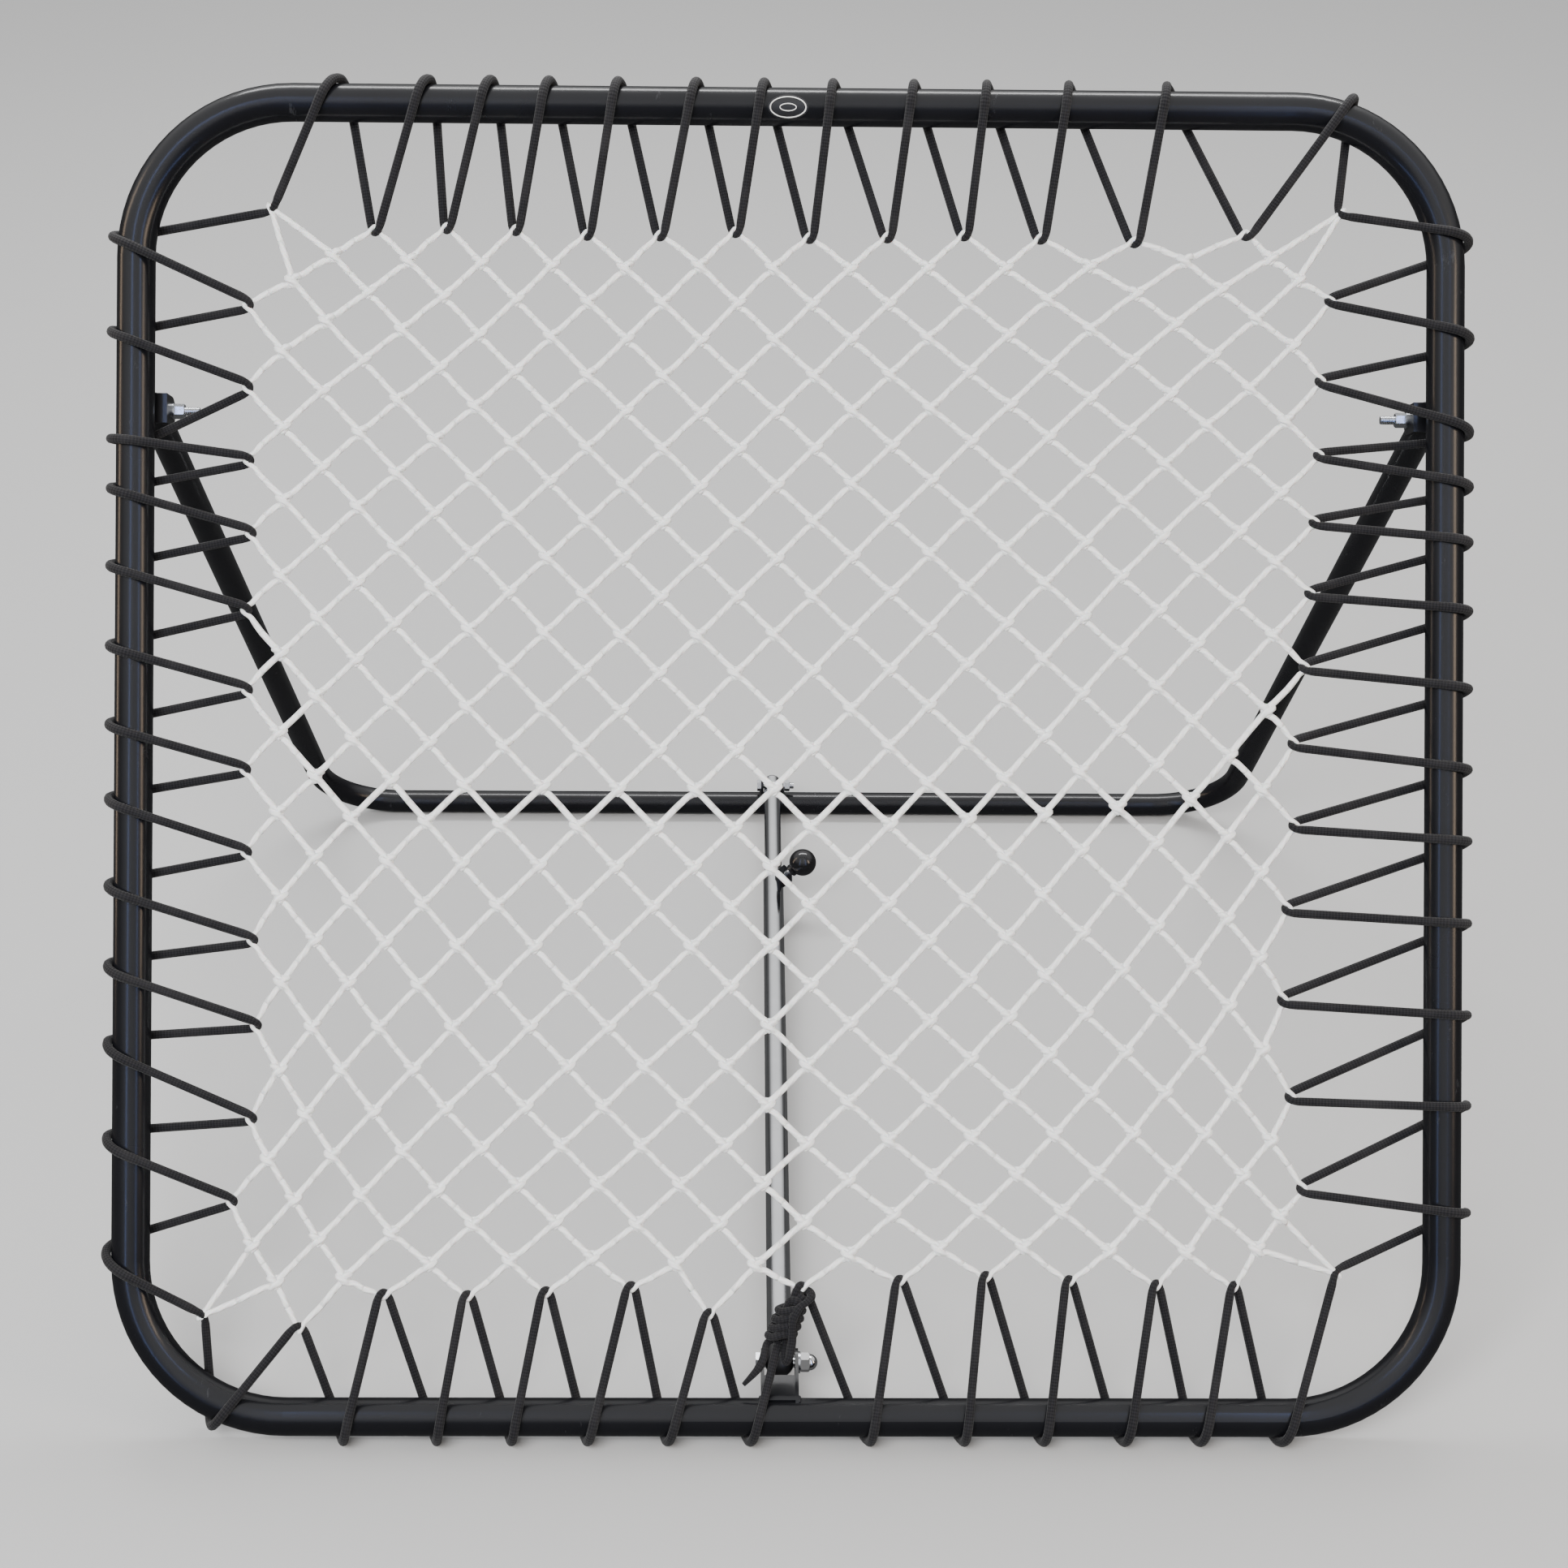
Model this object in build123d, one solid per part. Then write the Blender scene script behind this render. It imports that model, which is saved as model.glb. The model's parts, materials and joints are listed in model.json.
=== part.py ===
from build123d import *
import math
import os

os.makedirs("parts", exist_ok=True)

# Driving dimensions, in millimetres and degrees.
frame_width = 1000.0  # over the side tubes
frame_height = 1000.0  # over the top and bottom tubes, measured along the leaning frame
frame_lean = 33.6  # how far the frame leans back from upright
tube_od = 28.0
tube_wall = 1.5
bend_radius = 115.0  # of the frame tube's centreline
joint_offset = 86.0  # of the two butt joints from the middle of the top and bottom tubes
sleeve_length = 90.0
sleeve_wall = 1.5
sleeve_gap = 0.1
joint_screw_offset = 24.0  # from the butt joint
joint_screw_od = 4.0
joint_screw_head_od = 8.0
joint_screw_head_height = 2.2
joint_screw_head_round = 0.7
joint_screw_length = 9.0

cord_od = 7.0
cord_gap = 0.35  # between the cord and the tube that it goes round
hook_radius = 5.2  # the cord's turn through a loop of the net
hook_half_width = 5.6
hook_lift = 1.6  # of the turn's two sides from the net's middle plane
bend_share = 0.94  # of a wrap's radius, so that its arcs have short straight runs between them

net_thickness = 1.0
net_gap = 1.6  # between the panel and the cord's turns

pivot_below_top = 225.0  # from the top tube's axis, along the frame
pivot_behind_tube = 17.0  # from the back of the side tube
pivot_in = 6.0  # of the bracket's middle from the side tube's axis, towards the net
pivot_web_bite = 1.5  # of the web into the back of the tube, where it is welded
pivot_ear_thickness = 2.5
pivot_ear_radius = 11.0
pivot_web_thickness = 2.5
pivot_bolt_od = 6.0
pivot_nut_across = 10.0
pivot_nut_height = 8.0
pivot_bolt_spare = 11.0  # thread that stands out of the nut
bolt_head_height = 4.0
nut_corner_share = 0.9  # of a nut's corner that is turned off at its ends
washer_od = 12.5
washer_thickness = 1.6
hole_gap = 0.08  # radial, where a part turns on a bolt
bolt_hole_gap = 0.2  # radial, where a bolt only passes through

leg_tube_od = 22.0
leg_tube_wall = 1.5
leg_side_gap = 0.8  # between the leg's arm and each ear
leg_arm_end = 8.5  # of the arm past its pivot
leg_bottom_half = 450.0  # where the arms' axes meet the bottom tube's axis
leg_bend_radius = 75.0
leg_joint_x = 30.0
leg_plug_height = 3.0
leg_plug_depth = 14.0
leg_plug_round = 2.7

strut_x = -6.0  # of the strut's axis, to the left of the middle
strut_pin_back = 45.0  # behind the bottom tube's axis
strut_pin_lift = 10.0  # above the top of the rear leg's bottom tube
strut_outer_od = 19.0
strut_outer_wall = 1.2
strut_outer_end = 633.0  # of the outer tube's rear end from the front bolt
strut_slide_gap = 0.3  # radial, between the two tubes
strut_inner_wall = 1.2
strut_inner_length = 452.0  # from the rear bolt to the inner tube's front end
strut_rear_end = 6.0  # of the inner tube past the rear bolt
strut_cap_od = 22.0
strut_cap_length = 12.0  # from the front bolt to the outer tube
strut_cap_shank = 25.0

front_ear_thickness = 2.5
front_ear_gap = 0.5
front_ear_radius = 10.5
front_web_thickness = 2.5
front_web_length = 24.0
front_bolt_od = 8.0
front_nut_across = 13.0
dome_nut_hex_height = 7.0
dome_nut_dome_od = 12.2

rear_ear_thickness = 2.5
rear_ear_gap = 0.5
rear_ear_radius = 8.5
rear_bolt_od = 6.0
rear_nut_across = 10.0
rear_nut_height = 5.0
rear_bolt_spare = 4.0

clamp_angle = 42.0  # of the screw above the ground
clamp_from_end = 14.0  # of the screw from the outer tube's rear end
clamp_boss_length = 17.0
clamp_boss_width = 12.0
clamp_boss_height = 9.0
clamp_boss_round = 2.0
clamp_screw_od = 6.0
clamp_screw_gap = 0.06
clamp_tip_gap = 0.1
clamp_ball_reach = 37.0  # of the ball's centre from the strut's axis
clamp_ball_od = 25.5
clamp_screw_in_ball = 9.0
clamp_neck_od = 12.0
clamp_neck_height = 1.6  # below the ball

# The knot that ties the cord's two ends lies on a line between two places, given as distance to the
# right of the middle and distance up the frame from the bottom tube's axis.
knot_low = (-7.5, 55.0)
knot_high = (4.0, 87.0)
knot_od = 22.0
knot_waist_od = 18.0
knot_lumps = 3
knot_end_gap = 1.2  # between the knot's ends and the cord that runs into them

badge_x = -5.0
badge_width = 30.0
badge_height = 18.0
badge_thickness = 0.5
badge_turn = 15.0  # of the badge from the frame's front, towards the net

# Lacing. Every place is (distance along the side in the cord's direction, distance in from the
# tube's axis), on a frame whose tube axes are lacing_half from the middle. The cord runs up the left
# side, along the top, down the right side and back along the bottom.
lacing_half = 486.0
top_hooks = [
    (-310, 96), (-257, 94), (-206, 95), (-153, 98), (-99, 98), (-43, 95),
    (12, 99), (70, 98), (127, 96), (184, 98), (254, 100), (337, 94),
]
top_crests = [-336, -270, -224, -181, -130, -72, -22, 29, 89, 143, 204, 277, 417]
right_hooks = [
    (-345, 88), (-285, 95), (-230, 96), (-180, 99), (-127, 102), (-72, 106),
    (-15, 114), (46, 113), (108, 118), (176, 121), (248, 115), (316, 106),
]
right_crests = [-388, -316, -246, -206, -165, -114, -56, 4, 57, 118, 186, 253, 333]
bottom_right_hooks = [(-331, 99), (-273, 100), (-208, 103), (-146, 106), (-82, 103)]
bottom_right_crests = [-365, -305, -249, -189, -130, -60]
bottom_middle_hook = (-9, 98)
bottom_left_hooks = [(59, 78), (117, 98), (180, 94), (238, 91), (300, 92), (362, 67)]
bottom_left_crests = [29, 90, 149, 205, 260, 329, 426]
left_hooks = [
    (-327, 76), (-266, 90), (-197, 93), (-134, 90), (-69, 85), (-8, 84),
    (51, 85), (110, 84), (167, 87), (221, 85), (275, 84), (336, 84),
]
left_crests = [-363, -279, -209, -152, -93, -29, 26, 84, 143, 200, 236, 316, 386]
wrap_exits = {("left", 236): 237.0}  # a wrap held down by the left pivot bracket
corner_hooks = {  # distance in from the side tube's axis and from the top or bottom tube's axis
    "top_left": (100, 79), "top_right": (79, 76), "bottom_right": (79, 108), "bottom_left": (53, 75),
}

# Derived sizes.
half_x = (frame_width - tube_od) / 2
half_y = (frame_height - tube_od) / 2
pivot_up = 2 * half_y - pivot_below_top
pivot_back = tube_od / 2 + pivot_behind_tube
strut_pin_z = leg_tube_od + strut_pin_lift
tube_radius = tube_od / 2
wrap_radius = tube_radius + cord_gap + cord_od / 2
tube_axis_z = tube_radius + cord_gap + cord_od
lean_sin = math.sin(math.radians(frame_lean))
lean_cos = math.cos(math.radians(frame_lean))
leg_radius = leg_tube_od / 2
ear_half_gap = leg_radius + leg_side_gap
pivot_local_y = pivot_up - half_y
pivot_x = half_x - pivot_in
pivot_y = pivot_up * lean_sin + pivot_back * lean_cos
pivot_z = tube_axis_z + pivot_up * lean_cos - pivot_back * lean_sin
# The frame pivot is as far from the front strut bolt as from the rear one, at the same height.
rear_pin_y = 2 * pivot_y - strut_pin_back
leg_length = math.hypot(rear_pin_y - pivot_y, pivot_z - leg_radius)
strut_bore = strut_outer_od - 2 * strut_outer_wall
strut_inner_od = strut_bore - 2 * strut_slide_gap

# The leaning frame's own axes: x to the right, y up along the frame, z out of its front.
frame_place = Plane(
    origin=(0, half_y * lean_sin, tube_axis_z + half_y * lean_cos),
    x_dir=(1, 0, 0),
    z_dir=(0, -lean_cos, lean_sin),
)
# The rear leg's own axes: x to the right, y up along the leg from its bottom tube.
leg_up = Vector(0, pivot_y - rear_pin_y, pivot_z - leg_radius).normalized()
leg_place = Plane(
    origin=(0, rear_pin_y, leg_radius),
    x_dir=(1, 0, 0),
    z_dir=Vector(1, 0, 0).cross(leg_up),
)

parts = {}


def on_frame(shape):
    return frame_place.location * shape


def bar(start, end, radius):
    """A round bar between two points."""
    start, end = Vector(*start), Vector(*end)
    run = end - start
    place = Plane(origin=start, z_dir=run.normalized())
    return place.location * Cylinder(radius, run.length, align=(Align.CENTER, Align.CENTER, Align.MIN))


def x_bar(y, z, x0, x1, radius):
    return bar((x0, y, z), (x1, y, z), radius)


def x_hex(y, z, x0, x1, across):
    place = Plane(origin=(x0, y, z), x_dir=(0, 1, 0), z_dir=(1, 0, 0))
    return extrude(place * RegularPolygon(across / 2, 6, major_radius=False), x1 - x0)


def tube_along(path, od, wall):
    start = Plane(origin=path @ 0, z_dir=path % 0)
    section = Circle(od / 2) - Circle(od / 2 - wall)
    return sweep(start * section, path=path)


def rod_along(path, od):
    start = Plane(origin=path @ 0, z_dir=path % 0)
    return sweep(start * Circle(od / 2), path=path)


# ---- main frame


def frame_half(sign):
    """One of two like halves, from the top joint round one side to the bottom joint."""
    path = FilletPolyline(
        (joint_offset, half_y),
        (sign * half_x, half_y),
        (sign * half_x, -half_y),
        (-joint_offset, -half_y),
        radius=bend_radius,
    )
    return tube_along(path, tube_od, tube_wall)


def joint_screw_x(sign):
    """The left half is screwed at the top joint and the right half at the bottom one."""
    return sign * (joint_offset - joint_screw_offset)


def frame_sleeve(sign):
    outer = tube_radius - tube_wall - sleeve_gap
    middle = sign * joint_offset
    ends = [(middle + side * sleeve_length / 2, sign * half_y, 0) for side in (-1, 1)]
    return bar(*ends, outer) - bar(*ends, outer - sleeve_wall)


def joint_screw(sign):
    x = joint_screw_x(sign)
    y = sign * half_y
    top = -tube_radius - joint_screw_head_height
    head = bar((x, y, -tube_radius), (x, y, top), joint_screw_head_od / 2)
    head = fillet(head.edges().group_by(Axis.Z)[0], joint_screw_head_round)
    shank = bar((x, y, -tube_radius), (x, y, joint_screw_length - tube_radius), joint_screw_od / 2)
    return head + shank


def screw_hole(sign):
    x = joint_screw_x(sign)
    y = sign * half_y
    return bar((x, y, -tube_od), (x, y, 0), joint_screw_od / 2)


def make_frame():
    left = frame_half(-1) - screw_hole(1)
    right = frame_half(1) - screw_hole(-1)
    sleeves = [frame_sleeve(sign) - screw_hole(sign) for sign in (-1, 1)]
    screws = [joint_screw(sign) - tube_round_screw(sign) for sign in (-1, 1)]
    parts["frame_left_tube"] = on_frame(left)
    parts["frame_right_tube"] = on_frame(right)
    parts["frame_sleeves"] = on_frame(Compound(sleeves))
    parts["frame_joint_screws"] = on_frame(Compound(screws))


def tube_round_screw(sign):
    """The tube wall beside a joint screw, which the screw's head is shaped to."""
    y = sign * half_y
    near = (joint_screw_x(sign) - joint_screw_head_od, y, 0)
    far = (joint_screw_x(sign) + joint_screw_head_od, y, 0)
    wall = bar(near, far, tube_radius) - bar(near, far, tube_radius - tube_wall)
    return wall - screw_hole(sign)


# ---- pivots between the frame and the rear leg


def pivot_bracket(sign):
    """A U-shaped bracket of two ears and a web, whose web is welded to the back of the side tube."""
    width = 2 * (ear_half_gap + pivot_ear_thickness)
    front = tube_radius - pivot_web_bite
    corner = (sign * pivot_x - width / 2, pivot_local_y, 0)
    side = Plane(origin=corner, x_dir=(0, 0, -1), z_dir=(1, 0, 0))
    depth = pivot_back - front
    outline = Pos(pivot_back, 0) * Circle(pivot_ear_radius)
    outline += Pos(front + depth / 2, 0) * Rectangle(depth, 2 * pivot_ear_radius)
    block = extrude(side * outline, width)
    room_start = front + pivot_web_thickness
    upwards = (Align.CENTER, Align.CENTER, Align.MAX)
    room = Box(2 * ear_half_gap, 4 * pivot_ear_radius, 2 * pivot_back, align=upwards)
    block -= Pos(sign * pivot_x, pivot_local_y, -room_start) * room
    reach = 3 * pivot_ear_radius
    low = (sign * half_x, pivot_local_y - reach, 0)
    high = (sign * half_x, pivot_local_y + reach, 0)
    block -= bar(low, high, tube_radius)
    ends = (sign * pivot_x - width, sign * pivot_x + width)
    return block - x_bar(pivot_local_y, -pivot_back, *ends, bolt_hole_radius())


def bolt_hole_radius():
    return pivot_bolt_od / 2 + bolt_hole_gap


def pivot_stack(sign):
    """Places along x, from the outer face of the bracket to the bolt's tip."""
    outer = ear_half_gap + pivot_ear_thickness
    nut = outer + washer_thickness
    tip = nut + pivot_nut_height + pivot_bolt_spare
    middle = sign * pivot_x
    return middle, outer, nut, tip


def pivot_bolt(sign):
    middle, outer, _, tip = pivot_stack(sign)
    y, z = pivot_local_y, -pivot_back
    shank = x_bar(y, z, middle + sign * outer, middle - sign * tip, pivot_bolt_od / 2)
    head = x_hex(y, z, middle + sign * outer, middle + sign * (outer + bolt_head_height), pivot_nut_across)
    return shank + head


def pivot_washer(sign):
    middle, outer, nut, _ = pivot_stack(sign)
    ends = (middle - sign * outer, middle - sign * nut)
    disc = x_bar(pivot_local_y, -pivot_back, *ends, washer_od / 2)
    return disc - x_bar(pivot_local_y, -pivot_back, *ends, bolt_hole_radius())


def hex_nut(y, z, x0, x1, across, bore):
    """A nut whose outer corners are turned off at both ends."""
    nut = x_hex(y, z, x0, x1, across)
    corner_radius = across / math.sqrt(3)
    barrel = x_bar(y, z, x0, x1, corner_radius)
    turned_off = (corner_radius - across / 2) * nut_corner_share
    barrel = chamfer(barrel.edges().filter_by(GeomType.CIRCLE), turned_off)
    return (nut & barrel) - x_bar(y, z, x0, x1, bore / 2 + hole_gap / 2)


def pivot_nut(sign):
    middle, _, nut, _ = pivot_stack(sign)
    ends = (middle - sign * nut, middle - sign * (nut + pivot_nut_height))
    return hex_nut(pivot_local_y, -pivot_back, *ends, pivot_nut_across, pivot_bolt_od)


def make_pivots():
    parts["pivot_bracket_left"] = on_frame(pivot_bracket(-1))
    parts["pivot_bracket_right"] = on_frame(pivot_bracket(1))
    makers = {"pivot_bolts": pivot_bolt, "pivot_washers": pivot_washer, "pivot_nuts": pivot_nut}
    for name, maker in makers.items():
        parts[name] = on_frame(Compound([maker(sign) for sign in (-1, 1)]))


# ---- rear leg


def arm_point(sign, past):
    """A point on the leg arm's axis, past its pivot."""
    spread = (pivot_x - leg_bottom_half) / leg_length
    along = past / math.hypot(1, spread)
    return sign * (pivot_x + spread * along), leg_length + along


def leg_half(sign):
    path = FilletPolyline(
        (leg_joint_x, 0),
        (sign * leg_bottom_half, 0),
        arm_point(sign, leg_arm_end),
        radius=leg_bend_radius,
    )
    tube = tube_along(path, leg_tube_od, leg_tube_wall)
    ends = (sign * pivot_x - leg_tube_od, sign * pivot_x + leg_tube_od)
    return tube - x_bar(leg_length, 0, *ends, pivot_bolt_od / 2 + hole_gap)


def leg_plug(sign):
    """A domed plug in the arm's open top end, with room for the pivot bolt."""
    mouth = Vector(*arm_point(sign, leg_arm_end))
    along = Vector(*arm_point(sign, 0)) - mouth
    dome = Cylinder(leg_radius, leg_plug_height, align=(Align.CENTER, Align.CENTER, Align.MAX))
    dome = fillet(dome.edges().group_by(Axis.Z)[0], leg_plug_round)
    stem_align = (Align.CENTER, Align.CENTER, Align.MIN)
    stem = Cylinder(leg_radius - leg_tube_wall, leg_plug_depth, align=stem_align)
    plug = Plane(origin=mouth, z_dir=along).location * (dome + stem)
    ends = (sign * pivot_x - leg_tube_od, sign * pivot_x + leg_tube_od)
    return plug - x_bar(leg_length, 0, *ends, pivot_bolt_od / 2 + 2 * hole_gap)


def make_leg():
    sleeve_od = leg_tube_od - 2 * leg_tube_wall - 2 * sleeve_gap
    ends = [(leg_joint_x + side * sleeve_length / 2, 0, 0) for side in (-1, 1)]
    sleeve = bar(*ends, sleeve_od / 2) - bar(*ends, sleeve_od / 2 - sleeve_wall)
    place = leg_place.location
    parts["rear_leg_left"] = place * leg_half(-1)
    parts["rear_leg_right"] = place * leg_half(1)
    parts["rear_leg_sleeve"] = place * sleeve
    parts["leg_plug_left"] = place * leg_plug(-1)
    parts["leg_plug_right"] = place * leg_plug(1)


def ear_pair(outline, gap, thickness):
    """Two plates either side of the strut's axis, cut to one outline in the y-z plane."""
    ears = []
    for x0 in (strut_x - gap / 2 - thickness, strut_x + gap / 2):
        plane = Plane(origin=(x0, 0, 0), x_dir=(0, 1, 0), z_dir=(1, 0, 0))
        ears.append(extrude(plane * outline, thickness))
    return ears


rear_gap = strut_inner_od + 2 * rear_ear_gap
rear_half_width = rear_gap / 2 + rear_ear_thickness


def make_rear_clevis():
    """Two ears welded to the leg's bottom tube, shaped to it."""
    outline = Pos(rear_pin_y, strut_pin_z) * Circle(rear_ear_radius)
    stem_height = strut_pin_z - leg_radius
    outline += Pos(rear_pin_y, leg_radius + stem_height / 2) * Rectangle(2 * rear_ear_radius, stem_height)
    outline -= Pos(rear_pin_y, strut_pin_z) * Circle(rear_bolt_od / 2 + bolt_hole_gap)
    outline -= Pos(rear_pin_y, leg_radius) * Circle(leg_radius)
    parts["rear_clevis"] = Compound(ear_pair(outline, rear_gap, rear_ear_thickness))


def make_rear_bolt():
    y, z = rear_pin_y, strut_pin_z
    left = strut_x - rear_half_width
    right = strut_x + rear_half_width
    nut_start = right + washer_thickness
    nut_end = nut_start + rear_nut_height
    shank = x_bar(y, z, left, nut_end + rear_bolt_spare, rear_bolt_od / 2)
    parts["rear_strut_bolt"] = shank + x_hex(y, z, left - bolt_head_height, left, rear_nut_across)
    washer = x_bar(y, z, right, nut_start, washer_od / 2)
    parts["rear_strut_washer"] = washer - x_bar(y, z, right, nut_start, rear_bolt_od / 2 + bolt_hole_gap)
    parts["rear_strut_nut"] = hex_nut(y, z, nut_start, nut_end, rear_nut_across, rear_bolt_od)


# ---- strut

outer_start = strut_pin_back + strut_cap_length
outer_end = strut_pin_back + strut_outer_end
clamp_y = outer_end - clamp_from_end
clamp_dir = Vector(math.cos(math.radians(clamp_angle)), 0, math.sin(math.radians(clamp_angle)))


def strut_point(reach):
    """A point on the clamp screw's axis, reach from the strut's axis."""
    return Vector(strut_x, clamp_y, strut_pin_z) + clamp_dir * reach


def y_bar(y0, y1, radius):
    return bar((strut_x, y0, strut_pin_z), (strut_x, y1, strut_pin_z), radius)


def make_strut_outer():
    tube = y_bar(outer_start, outer_end, strut_outer_od / 2) - y_bar(outer_start, outer_end, strut_bore / 2)
    screw_room = bar(strut_point(0), strut_point(strut_outer_od), clamp_screw_od / 2 + clamp_screw_gap)
    parts["strut_outer_tube"] = tube - screw_room
    ball = Pos(strut_x, strut_pin_back, strut_pin_z) * Sphere(strut_cap_od / 2)
    cap = ball + y_bar(strut_pin_back, outer_start, strut_cap_od / 2)
    cap += y_bar(outer_start, outer_start + strut_cap_shank, strut_bore / 2 - sleeve_gap)
    half = strut_cap_od
    hole = x_bar(strut_pin_back, strut_pin_z, strut_x - half, strut_x + half, front_bolt_od / 2 + hole_gap)
    parts["strut_front_cap"] = cap - hole


def make_strut_inner():
    front = rear_pin_y - strut_inner_length
    back = rear_pin_y + strut_rear_end
    bore = strut_inner_od / 2 - strut_inner_wall
    half = strut_inner_od
    hole = x_bar(rear_pin_y, strut_pin_z, strut_x - half, strut_x + half, rear_bolt_od / 2 + hole_gap)
    parts["strut_inner_tube"] = y_bar(front, back, strut_inner_od / 2) - y_bar(front, back, bore) - hole
    dome = y_bar(back, back + leg_plug_height, strut_inner_od / 2)
    dome = fillet(dome.edges().group_by(Axis.Y)[-1], leg_plug_round)
    plug = dome + y_bar(back - leg_plug_depth, back, bore)
    room = x_bar(rear_pin_y, strut_pin_z, strut_x - half, strut_x + half, rear_bolt_od / 2 + 2 * hole_gap)
    parts["strut_rear_plug"] = plug - room


def make_clamp():
    top = strut_outer_od / 2 + clamp_boss_height
    place = Plane(origin=strut_point(0), x_dir=(0, 1, 0), z_dir=clamp_dir)
    block = Box(clamp_boss_length, clamp_boss_width, top, align=(Align.CENTER, Align.CENTER, Align.MIN))
    block = fillet(block.edges().filter_by(Axis.Z), clamp_boss_round)
    boss = place.location * block
    boss -= y_bar(clamp_y - clamp_boss_length, clamp_y + clamp_boss_length, strut_outer_od / 2)
    boss -= bar(strut_point(0), strut_point(2 * top), clamp_screw_od / 2 + clamp_screw_gap)
    parts["clamp_boss"] = boss
    tip = strut_inner_od / 2 + clamp_tip_gap
    screw_end = clamp_ball_reach - clamp_ball_od / 2 + clamp_screw_in_ball
    parts["clamp_screw"] = bar(strut_point(tip), strut_point(screw_end), clamp_screw_od / 2)
    ball_place = Plane(origin=strut_point(clamp_ball_reach), z_dir=clamp_dir).location
    ball = Sphere(clamp_ball_od / 2)
    neck_length = clamp_ball_od / 2 + clamp_neck_height
    neck = Cylinder(clamp_neck_od / 2, neck_length, align=(Align.CENTER, Align.CENTER, Align.MAX))
    knob = ball_place * (ball + neck)
    parts["clamp_knob"] = knob - bar(strut_point(0), strut_point(screw_end), clamp_screw_od / 2)


front_gap = strut_cap_od + 2 * front_ear_gap
front_half_width = front_gap / 2 + front_ear_thickness


def make_front_bracket():
    """Two ears and a web, shaped to the bottom tube."""
    pin = (strut_pin_back, strut_pin_z)
    eye = Pos(*pin) * Circle(front_ear_radius)
    root = Pos(tube_radius / 2, tube_axis_z + tube_radius / 2)
    root = root * Circle(tube_radius / 2 + front_web_thickness)
    outline = make_hull((eye + root).edges())
    outline -= Pos(*pin) * Circle(front_bolt_od / 2 + bolt_hole_gap)
    tube = Pos(0, tube_axis_z) * Circle(tube_radius)
    ears = ear_pair(outline - tube, front_gap, front_ear_thickness)
    web_top = tube_axis_z + tube_radius + front_web_thickness
    web_outline = Pos(front_web_length / 2 + front_web_thickness, web_top - front_web_thickness / 2)
    web_outline = web_outline * Rectangle(front_web_length, front_web_thickness) & outline
    plane = Plane(origin=(strut_x - front_gap / 2, 0, 0), x_dir=(0, 1, 0), z_dir=(1, 0, 0))
    web = extrude(plane * (web_outline - tube), front_gap)
    parts["front_strut_bracket"] = ears[0] + ears[1] + web


def make_front_bolt():
    y, z = strut_pin_back, strut_pin_z
    left = strut_x - front_half_width
    right = strut_x + front_half_width
    nut_start = right + washer_thickness
    hex_end = nut_start + dome_nut_hex_height
    shank = x_bar(y, z, left, hex_end, front_bolt_od / 2)
    parts["front_strut_bolt"] = shank + x_hex(y, z, left - bolt_head_height, left, front_nut_across)
    washer = x_bar(y, z, right, nut_start, front_nut_across / 2 + washer_thickness)
    parts["front_strut_washer"] = washer - x_bar(y, z, right, nut_start, front_bolt_od / 2 + bolt_hole_gap)
    dome_radius = dome_nut_dome_od / 2
    dome = Pos(hex_end, y, z) * Sphere(dome_radius)
    dome += x_bar(y, z, nut_start, hex_end, dome_radius)
    nut = hex_nut(y, z, nut_start, hex_end, front_nut_across, front_bolt_od)
    dome -= x_bar(y, z, nut_start - dome_radius, hex_end + hole_gap, front_bolt_od / 2 + hole_gap / 2)
    cut = Box(*[2 * dome_nut_dome_od] * 3, align=(Align.MAX, Align.CENTER, Align.CENTER))
    dome -= Pos(nut_start, y, z) * cut
    parts["front_dome_nut"] = nut + dome


def knot_point(place):
    """One of the knot's ends, in the frame's own axes."""
    return Vector(place[0], place[1] - half_y)


def make_knot():
    """The knot that ties the cord's ends, as one lumpy solid in the frame's plane."""
    low, high = knot_point(knot_low), knot_point(knot_high)
    length = (high - low).length
    lump = length / knot_lumps
    edges = [Line((0, 0), (knot_waist_od / 2, 0))]
    for i in range(knot_lumps):
        first = (knot_waist_od / 2, i * lump)
        middle = (knot_od / 2, (i + 0.5) * lump)
        last = (knot_waist_od / 2, (i + 1) * lump)
        edges.append(ThreePointArc(first, middle, last))
    edges.append(Line((knot_waist_od / 2, length), (0, length)))
    edges.append(Line((0, length), (0, 0)))
    knot = revolve(Plane.XZ * make_face(edges), Axis.Z)
    parts["lacing_knot"] = on_frame(Plane(origin=low, z_dir=high - low).location * knot)


# ---- lacing and net

# Each side's direction along the cord, and its way out from the middle of the frame.
sides = {
    "top": (Vector(1, 0), Vector(0, 1)),
    "right": (Vector(0, -1), Vector(1, 0)),
    "bottom": (Vector(-1, 0), Vector(0, -1)),
    "left": (Vector(0, 1), Vector(-1, 0)),
}
corner_signs = {"top_left": (-1, 1), "top_right": (1, 1), "bottom_right": (1, -1), "bottom_left": (-1, -1)}


def side_halves(side):
    """The side's half length, and its distance from the middle, between tube axes."""
    return (half_x, half_y) if side in ("top", "bottom") else (half_y, half_x)


def hook_place(side, hook):
    along, out = sides[side]
    half_length, distance = side_halves(side)
    return along * (hook[0] * half_length / lacing_half) + out * (distance - hook[1])


def corner_place(name):
    sign_x, sign_y = corner_signs[name]
    in_x, in_y = corner_hooks[name]
    return Vector(sign_x * (half_x - in_x), sign_y * (half_y - in_y))


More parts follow.
